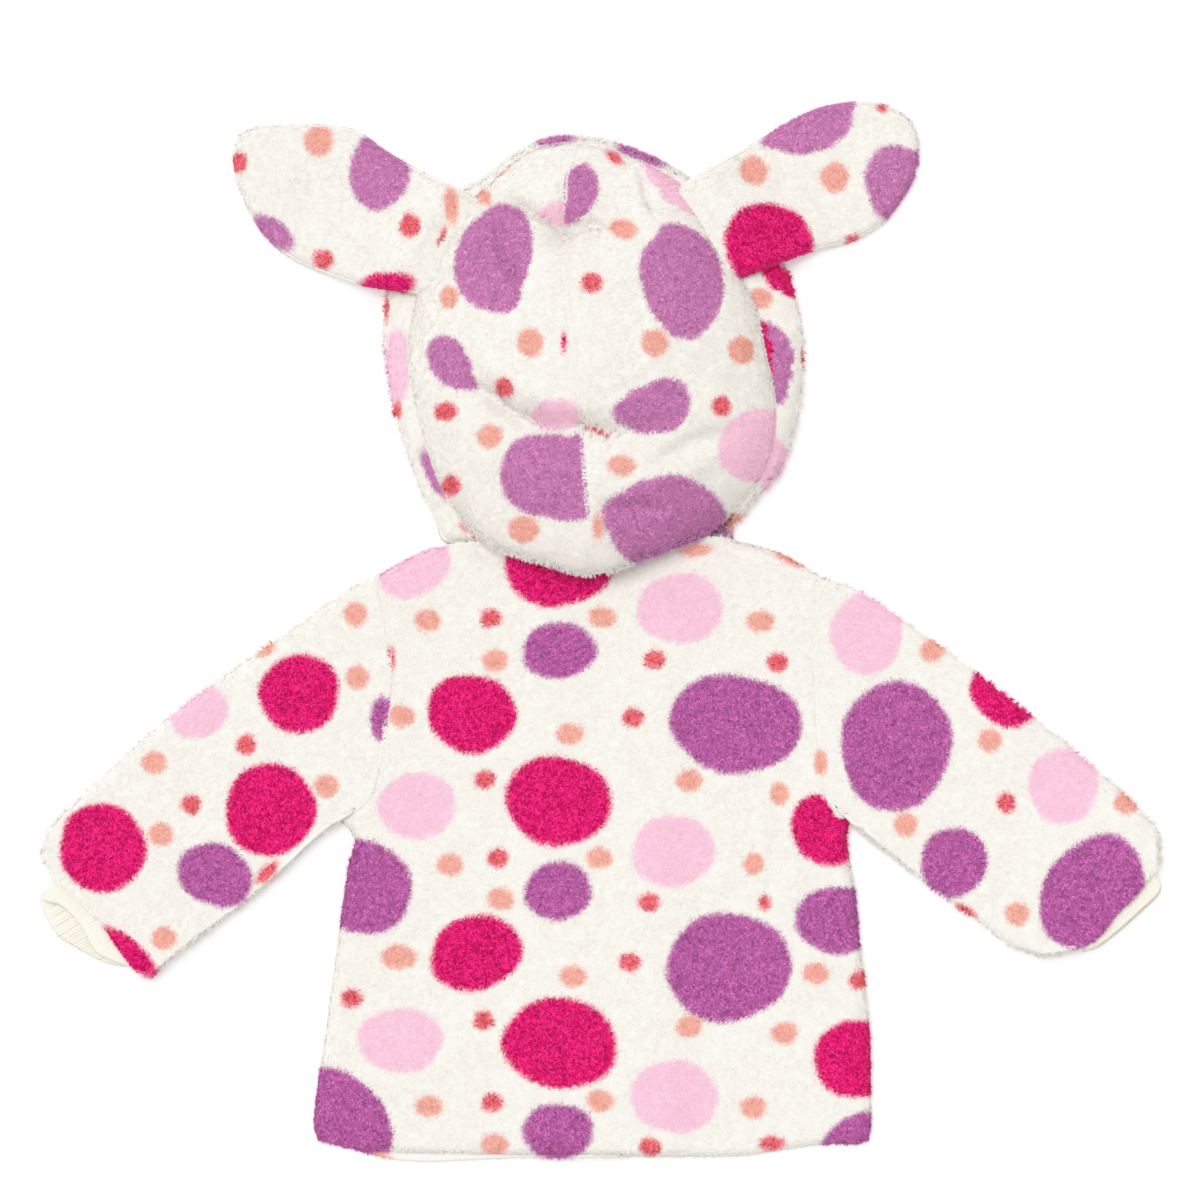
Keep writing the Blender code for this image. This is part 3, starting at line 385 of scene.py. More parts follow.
BAND_DOTS = {
    Tone.PINK: ((398, 366, 14, 36), (774, 468, 16, 30)),
    Tone.CORAL: ((397, 411, 5, 9), (387, 308, 2, 15), (480, 540, 10, 3, -40), (803, 357, 2, 9)),
    Tone.LILAC: (
        (435, 475, 8, 27, 25),
        (
            (765, 322), (774, 326), (783, 334), (790, 346), (791, 367), (788, 384), (783, 404), (776, 405),
            (770, 384), (767, 363), (764, 340),
        ),
        (718, 538, 22, 12, -20), (550, 141, 26, 7), (640, 157, 26, 8, -20),
    ),
    Tone.MAGENTA: (
        ((758, 268), (772, 262), (785, 270), (792, 285), (796, 300), (788, 297), (778, 291), (766, 281)),
        ((757, 320), (764, 322), (767, 340), (769, 356), (773, 376), (766, 376), (761, 358), (758, 340)),
    ),
    Tone.SALMON: ((759, 300, 12, 11), (733, 521, 12, 8), (464, 528, 7, 3, -35)),
}
EAR_DOTS = {
    Side.LEFT: {
        Tone.LILAC: ((380, 172, 31, 39), (274, 233, 25, 12, -40)),
        Tone.SALMON: ((319, 142, 15, 15), (452, 207, 7, 19, 4)),
        Tone.CORAL: ((239, 163, 9, 10), (411, 228, 11, 12), (324, 260), (443, 238, 3, 10, -25)),
        Tone.MAGENTA: ((389, 286, 28, 12),),
    },
    Side.RIGHT: {
        Tone.LILAC: (
            (
                (758, 143), (775, 128), (795, 114), (820, 104), (840, 101), (856, 99), (853, 113), (848, 131),
                (836, 143), (816, 151), (798, 155), (780, 151), (765, 147),
            ),
            (
                (868, 165), (875, 152), (889, 146), (905, 149), (918, 152), (919, 166), (913, 185),
                (904, 205), (888, 222), (876, 214), (868, 195), (864, 178),
            ),
        ),
        Tone.MAGENTA: (
            (
                (723, 240), (729, 223), (742, 210), (758, 205), (778, 207), (796, 214), (807, 227),
                (813, 243), (811, 262), (795, 272), (767, 283), (745, 292), (733, 272), (725, 254),
            ),
        ),
        Tone.SALMON: ((753, 172, 14, 15), (834, 178, 14, 15)),
        Tone.CORAL: ((852, 240, 8, 5, 25), (881, 109, 5, 5)),
    },
}
# What the photograph hides repeats this stretch of the back's print
TILE = (400.0, 242.0)
TILE_DOTS = {
    Tone.MAGENTA: ((472, 713, 45, 39), (558, 800, 53, 45)),
    Tone.ORCHID: ((558, 890, 35, 29), (735, 723, 64, 50)),
    Tone.PINK: ((673, 850, 42, 35), (417, 805, 38, 34)),
    Tone.SALMON: ((428, 620), (495, 660), (570, 733), (689, 780), (599, 857), (779, 793)),
    Tone.CORAL: ((491, 618), (633, 717), (485, 779), (649, 901), (654, 659)),
}


# Lines, curves and grids


def lengths(line: Array) -> Array:
    """The distance of each point along the line."""
    return np.concatenate(((0.0,), np.cumsum(np.linalg.norm(np.diff(line, axis=0), axis=1))))


def at_distances(line: Array, distances: Array) -> Array:
    """Points that lie at these distances along the line."""
    along = lengths(line)
    return np.stack([np.interp(distances, along, axis) for axis in line.T], axis=1)


def between(p0: Array, p1: Array, p2: Array, p3: Array, t: Array | float) -> Array:
    """A Catmull-Rom curve's point at t, from 0 at p1 to 1 at p2."""
    curve = 2 * p1 + (p2 - p0) * t + (2 * p0 - 5 * p1 + 4 * p2 - p3) * t**2
    return 0.5 * (curve + (3 * p1 - p0 - 3 * p2 + p3) * t**3)


def smooth(rows: object, steps: int = 12) -> Array:
    """A Catmull-Rom curve through the rows.

    Args:
        rows: The points, in any number of columns.
        steps: Points for each span.

    Returns:
        The curve's points.
    """
    points = np.array(rows, float)
    padded = np.vstack((2 * points[0] - points[1], points, 2 * points[-1] - points[-2]))
    found = []
    for index in range(1, len(padded) - 2):
        p0, p1, p2, p3 = padded[index - 1 : index + 3]
        for t in np.linspace(0.0, 1.0, steps, endpoint=False):
            found.append(between(p0, p1, p2, p3, t))
    return np.array(found + [points[-1]])


def smoothstep(low: float, high: float, value: Array) -> Array:
    """Rises softly from 0 at low to 1 at high."""
    t = np.clip((value - low) / (high - low), 0.0, 1.0)
    return t * t * (3.0 - 2.0 * t)


def rounded(distance: Array, width: float) -> Array:
    """Rises from 0 at an edge to 1 at width from it, as a quarter of an ellipse."""
    inward = 1.0 - np.clip(distance / width, 0.0, 1.0)
    return np.sqrt(1.0 - inward**2)


def unit(vectors: Array) -> Array:
    """The vectors at a length of 1."""
    return vectors / np.maximum(np.linalg.norm(vectors, axis=-1, keepdims=True), 1e-9)


def away_from(plan: Array, line: Array) -> tuple[Array, Array]:
    """How far plan points lie from a line.

    Args:
        plan: Plan points, in a grid of any shape.
        line: The line's points.

    Returns:
        The distance of each point, and how far along the line it is nearest.
    """
    flat = plan[..., :2].reshape(-1, 2)
    start, step = line[:-1], np.diff(line, axis=0)
    size = np.linalg.norm(step, axis=1)
    kept = size > 1e-9
    start, step, size, base = start[kept], step[kept], size[kept], lengths(line)[:-1][kept]
    away, along = np.empty(len(flat)), np.empty(len(flat))
    for first in range(0, len(flat), 4000):
        part = slice(first, first + 4000)
        offset = flat[part, None, :] - start[None]
        share = np.clip((offset * step).sum(2) / size**2, 0.0, 1.0)
        gap = np.linalg.norm(offset - share[..., None] * step, axis=2)
        nearest = gap.argmin(1)
        rows = np.arange(len(nearest))
        away[part] = gap[rows, nearest]
        along[part] = base[nearest] + share[rows, nearest] * size[nearest]
    return away.reshape(plan.shape[:-1]), along.reshape(plan.shape[:-1])


def crease_depth(plan: Array, rows: tuple, width: float) -> Array:
    """How deep a crease lies under each plan point, from its rows of x, y and depth.

    Args:
        plan: Plan points, in a grid of any shape.
        rows: x, y and depth along the crease.
        width: How far from its line it reaches.

    Returns:
        The depth at each point.
    """
    line = smooth([row[:2] for row in rows])
    knots = lengths(line)[:: (len(line) - 1) // (len(rows) - 1)]
    away, along = away_from(plan, line)
    return np.interp(along, knots, [row[2] for row in rows]) * np.exp(-((away / width) ** 2))


def ripple(plan: Array, scale: float, seed: int) -> Array:
    """A smooth seeded noise of about -1 to 1 over plan points, with waves of this scale.

    Args:
        plan: Plan points, in a grid of any shape.
        scale: The waves' length.
        seed: Seed of the waves' ways.

    Returns:
        The noise at each point.
    """
    rng = np.random.default_rng(seed)
    total = np.zeros(plan.shape[:-1])
    for _ in range(7):
        angle, phase = rng.uniform(0.0, 2 * math.pi, 2)
        wave = 2 * math.pi / (scale * rng.uniform(0.7, 1.6))
        total += np.sin(wave * (plan[..., 0] * math.cos(angle) + plan[..., 1] * math.sin(angle)) + phase)
    return total / 3.5


def waves(plan: Array, rows: tuple) -> Array:
    """Soft waves in a cloth.

    Args:
        plan: Plan points, in a grid of any shape.
        rows: A height, a scale and a seed for each ripple.

    Returns:
        The ripples' sum at each point.
    """
    return sum(height * ripple(plan, scale, seed) for height, scale, seed in rows)


def run(points: Array) -> Array:
    """How far each point of a grid lies down its column from the first row."""
    steps = np.linalg.norm(np.diff(points, axis=0), axis=2)
    return np.concatenate((np.zeros((1, points.shape[1])), np.cumsum(steps, axis=0)))


def seam_ridge(gap: Array) -> Array:
    """The soft ridge beside a seam, by the distance from it."""
    return 0.2 * np.exp(-(((gap - 7.0) / 3.5) ** 2))


def seam_groove(gap: Array) -> Array:
    """The groove along a seam, by the distance from it."""
    return 0.1 * np.exp(-((gap / 2.6) ** 2))


@dataclass(frozen=True)
class Edge:
    """An edge of a patch: a line, and marks along it that match the opposite edge's."""

    line: Array
    marks: Array

    def points(self, counts: Array) -> Array:
        """Points along the line with each span between marks divided by its count.

        Args:
            counts: Into how many parts each span is divided.

        Returns:
            The points.
        """
        found = [self.marks[:1]]
        for low, high, count in zip(self.marks[:-1], self.marks[1:], counts):
            found.append(np.linspace(low, high, count + 1)[1:])
        return at_distances(self.line, np.concatenate(found))


def counts_for(first: Edge, second: Edge, step: float) -> Array:
    """Into how many parts each span of two opposite edges is divided."""
    spans = np.maximum(np.diff(first.marks), np.diff(second.marks))
    return np.maximum(np.ceil(spans / step), 1).astype(int)


def patch(bottom: Edge, top: Edge, left: Edge, right: Edge, step: float) -> Array:
    """Plan points between four edges.

    Args:
        bottom: The edge of the first row.
        top: The edge of the last row.
        left: The edge of the first column.
        right: The edge of the last column.
        step: The largest distance between points.

    Returns:
        A grid of points, a row for each point of left and right.
    """
    across, up = counts_for(bottom, top, step), counts_for(left, right, step)
    low, high = bottom.points(across), top.points(across)
    first, last = left.points(up), right.points(up)
    u = (lengths(low) / lengths(low)[-1] + lengths(high) / lengths(high)[-1]) / 2
    v = (lengths(first) / lengths(first)[-1] + lengths(last) / lengths(last)[-1]) / 2
    u, v = u[None, :, None], v[:, None, None]
    corners = (1 - u) * (1 - v) * low[0] + u * (1 - v) * low[-1] + (1 - u) * v * high[0] + u * v * high[-1]
    return (1 - v) * low[None] + v * high[None] + (1 - u) * first[:, None] + u * last[:, None] - corners


EDGE_STEPS = SIDE_ROUND * (1.0 - np.cos(np.radians((0, 20, 40, 60, 75, 90))))


def crowded(total: float, spans: int) -> Array:
    """Marks over a length, closer together over the rounded fold at each end."""
    middle = np.linspace(SIDE_ROUND, total - SIDE_ROUND, spans + 1)
    return np.concatenate((EDGE_STEPS[:-1], middle, total - EDGE_STEPS[:-1][::-1]))


def raised(plan: Array, height: Array) -> Array:
    """Plan points with a height each."""
    return np.concatenate((plan, np.broadcast_to(height, plan.shape[:-1])[..., None]), axis=-1)


def grid_normals(points: Array, closed: bool) -> Array:
    """Unit normals of a grid, on the side from which its rows run up and columns right.

    Args:
        points: Points in rows and columns.
        closed: Whether the columns close on themselves.

    Returns:
        A normal for each point.
    """
    if closed:
        points = np.concatenate((points[:, -2:], points, points[:, :2]), axis=1)
    normals = unit(np.cross(np.gradient(points, axis=1), np.gradient(points, axis=0)))
    return normals[:, 2:-2] if closed else normals


# Print


WOBBLE = ((0.025, 2), (0.02, 3), (0.015, 5))  # a charted dot's unevenness: its share and lobes


@dataclass(frozen=True)
class Print:
    """The dots of one piece of cloth, over its ground."""

    dots: dict
    seed: int
    repeat: tuple[float, float] | None = None
    small: dict = field(default_factory=lambda: SMALL)  # half sizes of dots without their own
    softness: float = 2.4  # pixels over which a dot's rim fades each way into the ground

    def colours(self, plan: Array) -> Array:
        """The print's linear colours at plan points of any grid shape.

        Args:
            plan: Plan points, in a grid of any shape.

        Returns:
            A colour for each point.
        """
        flat = plan[..., :2].reshape(-1, 2)
        x = flat[:, 0] / PIXEL + PHOTO_CENTRE[0]
        y = PHOTO_CENTRE[1] - flat[:, 1] / PIXEL
        colour = np.tile(np.array(Tone.GROUND.value), (len(flat), 1))
        rng = np.random.default_rng(self.seed)
        for tone, dots in self.dots.items():
            for dot in dots:
                share = self.share(dot, tone, x, y, rng.uniform(0.0, 2 * math.pi, 3))
                colour += share[:, None] * (np.array(tone.value) - colour)
        return colour.reshape(*plan.shape[:-1], 3)

    def share(self, dot: tuple, tone: Tone, x: Array, y: Array, phases: Array) -> Array:
        """How far one dot covers points of the photograph, from 0 to 1.

        Args:
            dot: Its row in a chart.
            tone: Its colour.
            x: Pixels across.
            y: Pixels down.
            phases: The phase of each lobe of its unevenness.

        Returns:
            The share at each point.
        """
        outline = np.array(dot) if isinstance(dot[0], tuple) else None
        if outline is not None:
            centre, sizes, tilt = outline.mean(0), (1.0, 1.0), 0.0
            around = outline - centre
            reach = 1.2 * np.linalg.norm(around, axis=1).max()
            soft = self.softness / np.linalg.norm(around, axis=1).mean()
        else:
            centre, sizes = dot[:2], dot[2:4] if len(dot) > 2 else self.small[tone]
            tilt = math.radians(dot[4]) if len(dot) > 4 else 0.0
            reach = 1.3 * max(sizes) + self.softness
            soft = min(self.softness / min(sizes), 0.5)
        across, down = x - centre[0], y - centre[1]
        if self.repeat:
            across, down = (
                (gap + period / 2) % period - period / 2 for gap, period in zip((across, down), self.repeat)
            )
        near = np.hypot(across, down) < reach
        across, up = across[near], -down[near]
        u = (across * math.cos(tilt) + up * math.sin(tilt)) / sizes[0]
        v = (up * math.cos(tilt) - across * math.sin(tilt)) / sizes[1]
        angle = np.arctan2(v, u)
        edge = 1.0 + sum(
            size * np.sin(lobes * angle + phase) for (size, lobes), phase in zip(WOBBLE, phases)
        )
        if outline is not None:
            bearings = np.arctan2(-around[:, 1], around[:, 0])
            radii = np.linalg.norm(around, axis=1)
            edge = np.interp(angle, bearings, radii, period=2 * math.pi)
        found = np.zeros(len(x))
        found[near] = 1.0 - smoothstep(-soft, soft, np.hypot(u, v) / edge - 1.0)
        return found


HIDDEN_PRINT = Print(TILE_DOTS, 11, TILE)
RIM = 9.0  # how far in from an outline an under layer still has the upper one's print


def under_print(upper: Print, spots: Array, from_edge: Array) -> Array:
    """The print of an under layer: the upper's, wrapped round the edge, then the repeat.

    Args:
        upper: The upper layer's print.
        spots: Points of the under layer.
        from_edge: How far each point lies from the outline.

    Returns:
        Linear colours.
    """
    colour = HIDDEN_PRINT.colours(spots)
    wraps = from_edge < RIM
    colour[wraps] = upper.colours(spots[wraps])
    return colour


# Shader building


class Value:
    """A number socket that takes part in Python expressions."""

    def __init__(self, shader: "Shader", socket: bpy.types.NodeSocket) -> None:
        """Keeps the socket and the shader that its Math nodes go into."""
        self.shader = shader
        self.socket = socket

    def __add__(self, other: "Value | float") -> "Value":
        """The sum."""
        return self.shader.maths("ADD", self, other)

    __radd__ = __add__

    def __mul__(self, other: "Value | float") -> "Value":
        """The product."""
        return self.shader.maths("MULTIPLY", self, other)

    __rmul__ = __mul__

    def __sub__(self, other: "Value | float") -> "Value":
        """The difference."""
        return self.shader.maths("SUBTRACT", self, other)

    def __rsub__(self, other: float) -> "Value":
        """The difference, the other way round."""
        return self.shader.maths("SUBTRACT", other, self)


class Shader:
    """A material and the nodes that make its look."""

    def __init__(self, name: str) -> None:
        """Starts a material with a Principled shader.

        Args:
            name: The material's name.
        """
        self.material = bpy.data.materials.new(name)
        self.material.use_nodes = True
        self.tree = self.material.node_tree
        self.surface = self.tree.nodes["Principled BSDF"]

    def node(self, kind: str, settings: dict | None = None, **inputs: object) -> bpy.types.Node:
        """Adds a node.

        Args:
            kind: The node's type.
            settings: Properties of the node, set before its sockets.
            **inputs: A value or a link for each socket, its spaces as underlines, or
                its number after the word input.

        Returns:
            The node.
        """
        made = self.tree.nodes.new(kind)
        for name, value in (settings or {}).items():
            setattr(made, name, value)
        for name, value in inputs.items():
            key = int(name[5:]) if name.startswith("input") else name.replace("_", " ")
            self.feed(made.inputs[key], value)
        return made

    def feed(self, socket: bpy.types.NodeSocket, value: object) -> None:
        """Gives a socket a value or a link.

        Args:
            socket: The socket.
            value: A number, a colour, a socket or a Value.
        """
        if isinstance(value, Value):
            value = value.socket
        if isinstance(value, bpy.types.NodeSocket):
            self.tree.links.new(value, socket)
        else:
            socket.default_value = value

    def maths(self, operation: str, first: object, second: object) -> Value:
        """A Math node on two numbers or sockets."""
        made = self.node("ShaderNodeMath", {"operation": operation}, input0=first, input1=second)
        return Value(self, made.outputs[0])

    def place(self) -> bpy.types.NodeSocket:
        """The point's place on the object, in metres."""
        return self.node("ShaderNodeTexCoord").outputs["Object"]

    def print(self) -> bpy.types.NodeSocket:
        """The print's colour at the point."""
        return self.node("ShaderNodeAttribute", {"attribute_name": "print"}).outputs["Color"]

    def noise(self, scale: float, detail: float = 2.0) -> Value:
        """Noise from 0 to 1, with this many waves in a metre."""
        made = self.node("ShaderNodeTexNoise", Vector=self.place(), Scale=scale, Detail=detail)
        return Value(self, made.outputs["Fac"])

    def bump(self, height: Value, strength: float, depth: float) -> bpy.types.NodeSocket:
        """The normal of a surface that the height raises, by a depth in metres."""
        made = self.node("ShaderNodeBump", Strength=strength, Distance=depth, Height=height)
        return made.outputs["Normal"]

    def deep(self, colour: bpy.types.NodeSocket) -> Value:
        """0 on the print's ground and nearly 1 on its deepest dots.

        Args:
            colour: The print's colour.

        Returns:
            The depth of the colour.
        """
        parts = self.node("ShaderNodeSeparateColor", Color=colour)
        part = 1.0 - Value(self, parts.outputs["Green"]) * (1.0 / Tone.GROUND.value[1])
        return part * part

    def shaded(self, colour: object, shade: Value) -> bpy.types.NodeSocket:
        """A colour multiplied by a grey.

        Args:
            colour: A colour or its socket.
            shade: The grey.

        Returns:
            The product's socket.
        """
        grey = self.node("ShaderNodeCombineColor", Red=shade, Green=shade, Blue=shade)
        made = self.node(
            "ShaderNodeMix",
            {"data_type": "RGBA", "blend_type": "MULTIPLY"},
            input0=1.0,
            input6=colour,
            input7=grey.outputs[0],
        )
        return made.outputs[2]

    def finish(self, **inputs: object) -> bpy.types.Material:
        """Sets the Principled shader's sockets and returns the material.

        Args:
            **inputs: A value or a link for each socket, its spaces as underlines.

        Returns:
            The material.
        """
        for name, value in inputs.items():
            self.feed(self.surface.inputs[name.replace("_", " ")], value)
        return self.material


@dataclass(frozen=True)
class ClothFinish:
    """The knit under the pile, in the print's colours."""

    name: str = "fleece_knit"
    grain: float = 1200.0  # waves in a metre
    strands: float = 1.2  # how far light and dark strands differ in the deepest dots
    depth: float = 0.0005
    sheen: float = 0.2

    def material(self) -> bpy.types.Material:
        """Builds the material.

        Returns:
            The material.
        """
        shader = Shader(self.name)
        colour = shader.print()
        grain = shader.noise(self.grain)
        shade = 0.96 + 0.04 * shader.noise(45.0, 1.0) + shader.deep(colour) * self.strands * (grain - 0.5)
        return shader.finish(
            Base_Color=shader.shaded(colour, shade),
            Roughness=0.86 + 0.14 * grain,
            Normal=shader.bump(grain, 0.25, self.depth),
            Sheen_Weight=self.sheen,
            Sheen_Roughness=0.5,
            Specular_IOR_Level=0.1,
        )


@dataclass(frozen=True)
class PileFinish:
    """The tufts of the pile, each in its root's colour."""

    name: str = "fleece_pile"
    grain: float = 1300.0
    strands: float = 0.65
    sheen: float = 0.15

    def material(self) -> bpy.types.Material:
        """Builds the material.

        Returns:
            The material.
        """
        shader = Shader(self.name)
        colour = shader.print()
        cloud = shader.noise(60.0, 1.0)
        shade = 0.97 + 0.05 * cloud + shader.deep(colour) * self.strands * (shader.noise(self.grain) - 0.5)
        return shader.finish(
            Base_Color=shader.shaded(colour, shade),
            Roughness=0.88 + 0.1 * cloud,
            Sheen_Weight=self.sheen,
            Sheen_Roughness=0.45,
            Specular_IOR_Level=0.12,
        )


@dataclass(frozen=True)
class RibFinish:
    """The cuffs' rib knit: cream, with painted shade, darker and yellower, between the ribs."""

    name: str = "rib_knit"
    grain: float = 1500.0

    def material(self) -> bpy.types.Material:
        """Builds the material.

        Returns:
            The material.
        """
        shader = Shader(self.name)
        colour = shader.print()
        grain = shader.noise(self.grain)
        return shader.finish(
            Base_Color=shader.shaded(colour, 0.88 + 0.14 * grain),
            Roughness=0.8 + 0.15 * grain,
            Normal=shader.bump(grain, 0.7, 0.0003),
            Sheen_Weight=0.15,
            Specular_IOR_Level=0.15,
        )


@dataclass(frozen=True)
class StudFinish:
    """Moulded plastic with a faint satin grain."""

    name: str = "stud_plastic"

    def material(self) -> bpy.types.Material:
        """Builds the material.

        Returns:
            The material.
        """
        shader = Shader(self.name)
        grain = shader.noise(2500.0)
        return shader.finish(
            Base_Color=shader.shaded((0.93, 0.90, 0.86, 1.0), 0.97 + 0.04 * grain),
            Roughness=0.36 + 0.1 * grain,
            Normal=shader.bump(grain, 0.2, 0.0001),
        )


@dataclass(frozen=True)
class FloorFinish:
    """Plain white paper."""

    name: str = "white_paper"
    glow: float = 0.17  # as of paper on a light table

    def material(self) -> bpy.types.Material:
        """Builds the material.

        Returns:
            The material.
        """
        shader = Shader(self.name)
        return shader.finish(
            Base_Color=(0.97, 0.97, 0.97, 1.0),
            Roughness=0.9,
            Specular_IOR_Level=0.1,
            Emission_Color=(1.0, 1.0, 1.0, 1.0),
            Emission_Strength=self.glow,
        )


# Pieces


def add_mesh(
    name: str,
    points: Array,
    faces: Array,
    colours: Array,
    material: bpy.types.Material,
    normals: Array | None = None,
) -> bpy.types.Object:
    """Makes an object from arrays.

    Args:
        name: The piece's name.
        points: Vertices, in millimetres on the plan.
        faces: Vertex numbers, a row for each face.
        colours: A linear colour for each vertex.
        material: The finish.
        normals: The way each vertex faces the light, where it isn't its faces' own.

    Returns:
        The object, riding on the jacket.
    """
    places = points.reshape(-1, 3).copy()
    places[:, :2] -= ORIGIN
    sides = faces.shape[1]
    mesh = bpy.data.meshes.new(name)
    mesh.vertices.add(len(places))
    mesh.vertices.foreach_set("co", (places * MM).astype(np.float32).ravel())
    mesh.loops.add(faces.size)
    mesh.loops.foreach_set("vertex_index", faces.astype(np.int32).ravel())
    mesh.polygons.add(len(faces))
    mesh.polygons.foreach_set("loop_start", np.arange(0, faces.size, sides, dtype=np.int32))
    mesh.update(calc_edges=True)
    layer = mesh.attributes.new("print", "FLOAT_COLOR", "POINT")
    rgba = np.ones((len(places), 4), np.float32)
    rgba[:, :3] = colours.reshape(-1, 3)
    layer.data.foreach_set("color", rgba.ravel())
    if normals is not None:
        layer = mesh.attributes.new("custom_normal", "FLOAT_VECTOR", "POINT")
        layer.data.foreach_set("vector", normals.astype(np.float32).ravel())
    mesh.materials.append(material)
    item = bpy.data.objects.new(name, mesh)
    bpy.context.scene.collection.objects.link(item)
    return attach(item, BODY)


def add_map(item: bpy.types.Object, corners: Array) -> None:
    """Gives the piece a texture map named OFBake, from a place for each corner."""
    layer = item.data.uv_layers.new(name="OFBake")
    layer.data.foreach_set("uv", corners.astype(np.float32).ravel())


BELOW = 0.3  # how much thinner the pile is where it faces down
SEAM_FIBRES, HEM_FIBRES = 3.2, 2.6  # a border's fibres for each millimetre, of the density
FAN = 50.0  # how far they turn aside, in degrees


def brightness(colours: Array) -> Array:
    """1 on the print's ground and less the deeper a dot's colour is."""
    green, blue = Tone.GROUND.value[1:]
    return np.sqrt(colours[..., 1:2] * colours[..., 2:3] / (green * blue))


@dataclass
class Cloth:
    """A grid of cloth: its outer face's points, its print and how its pile grows."""

    name: str
    face: Array  # the outer face of the pile, in rows and columns
    colours: Array
    closed: bool = False  # whether the columns close on themselves
    flip: bool = False  # whether the outer side is the other one
    density: float = 1.85  # the pile's fibres for each square millimetre
    hems: tuple[Border, ...] = ()  # the other borders are seams
    seed: int = 1
    normals: Array = field(init=False)
    points: Array = field(init=False)

    def __post_init__(self) -> None:
        """Works out the normals and the knit's own points, under the pile."""
        self.normals = grid_normals(self.face, self.closed) * (-1.0 if self.flip else 1.0)
        self.points = self.face - PILE * self.normals

    def borders(self) -> tuple[Border, ...]:
        """The grid's borders: a closed one has no first or last column."""
        return ROW_BORDERS if self.closed else ROW_BORDERS + COLUMN_BORDERS

    def tucked(self) -> tuple[Array, Array]:
        """The knit's points and colours with each seam's edge turned in.

        Returns:
            The points and the colours, with a row or column more at each seam.
        """
        grids = [self.points, self.normals, self.colours]
        for border in self.borders():
            if border in self.hems:
                continue
            grids = [self.towards(border, grid) for grid in grids]
            points, normals, colours = grids
            turned = points[:1] + TUCK[0] * unit(points[:1] - points[1:2]) - TUCK[1] * normals[:1]
            points = np.concatenate((turned, points))
            grids = [points] + [np.concatenate((grid[:1], grid)) for grid in (normals, colours)]
            grids = [self.away_again(border, grid) for grid in grids]
        return grids[0], grids[2]

    @staticmethod
    def towards(border: Border, grid: Array) -> Array:
        """The grid turned so that the border is its first row."""
        grid = np.swapaxes(grid, 0, 1) if border in COLUMN_BORDERS else grid
        return grid[::-1] if border in FAR_BORDERS else grid

    @staticmethod
    def away_again(border: Border, grid: Array) -> Array:
        """A grid that was turned towards the border, turned back."""
        grid = grid[::-1] if border in FAR_BORDERS else grid
        return np.swapaxes(grid, 0, 1) if border in COLUMN_BORDERS else grid

    def shell(self, material: bpy.types.Material, thickness: float = KNIT) -> bpy.types.Object:
        """Makes the knit as a thin wall: its outer face, its inner face and its rims.

        Args:
            material: The finish.
            thickness: The wall's, in millimetres.

        Returns:
            The piece.
        """
        points, colours = self.tucked()
        # painted shade down in the pile: the knit that shows between the fibres is darker under deep dots
        colours = colours * (0.8 + 0.2 * brightness(colours))
        inner = points - thickness * grid_normals(points, self.closed) * (-1.0 if self.flip else 1.0)
        inner[..., 2] = np.maximum(inner[..., 2], ABOVE_TABLE)
        outer = np.arange(points[..., 0].size).reshape(points.shape[:2])
        if self.closed:
            outer = np.concatenate((outer, outer[:, :1]), axis=1)
        under = outer + points[..., 0].size
        quads = [self.quads(outer), self.quads(under)[:, ::-1]]
        quads += [self.quads(np.stack((under[0], outer[0]))), self.quads(np.stack((outer[-1], under[-1])))]
        if not self.closed:
            quads.append(self.quads(np.stack((under[:, 0], outer[:, 0]), axis=1)))
            quads.append(self.quads(np.stack((outer[:, -1], under[:, -1]), axis=1)))
        faces = np.concatenate(quads)
        if self.flip:
            faces = faces[:, ::-1]
        places = np.concatenate((points.reshape(-1, 3), inner.reshape(-1, 3)))
        inks = np.concatenate((colours.reshape(-1, 3), colours.reshape(-1, 3)))
        item = add_mesh(self.name + "_cloth", places, faces, inks, material)
        item.data.shade_smooth()
        return item

    @staticmethod
    def quads(index: Array) -> Array:
        """The faces between neighbours of a grid of vertex numbers."""
        corners = (index[:-1, :-1], index[:-1, 1:], index[1:, 1:], index[1:, :-1])
        return np.stack(corners, axis=-1).reshape(-1, 4)

    def cells(self) -> tuple[Array, Array, Array]:
        """The grid's points and normals, closed where it closes, and its cells' areas.

        Returns:
            The points, the normals and the areas.
        """
        points, normals = self.points, self.normals
        if self.closed:
            points = np.concatenate((points, points[:, :1]), axis=1)
            normals = np.concatenate((normals, normals[:, :1]), axis=1)
        right, up = points[:-1, 1:] - points[:-1, :-1], points[1:, :-1] - points[:-1, :-1]
        return points, normals, np.linalg.norm(np.cross(right, up), axis=-1)

    def area(self) -> float:
        """The cloth's area in square millimetres."""
        return float(self.cells()[2].sum())

    def scatter(self, share: float, rng: np.random.Generator) -> tuple[Array, Array]:
        """Random points spread over the cloth, fewer where it faces down.

        Args:
            share: How many points there are for each fibre.
            rng: The random source.

        Returns:
            The points, and the normals there.
        """
        points, normals, areas = self.cells()
        if self.closed:
            areas = areas * np.where(normals[:-1, :-1, 2] > -0.2, 1.0, BELOW)
        areas = areas.ravel()
        amount = int(areas.sum() * self.density * share)
        spots = rng.choice(len(areas), amount, p=areas / areas.sum())
        row, column = np.divmod(spots, points.shape[1] - 1)
        u, v = rng.random((2, amount, 1))
        found = []
        for grid in (points, normals):
            low = grid[row, column] * (1 - u) + grid[row, column + 1] * u
            high = grid[row + 1, column] * (1 - u) + grid[row + 1, column + 1] * u
            found.append(low * (1 - v) + high * v)
        return found[0], unit(found[1])

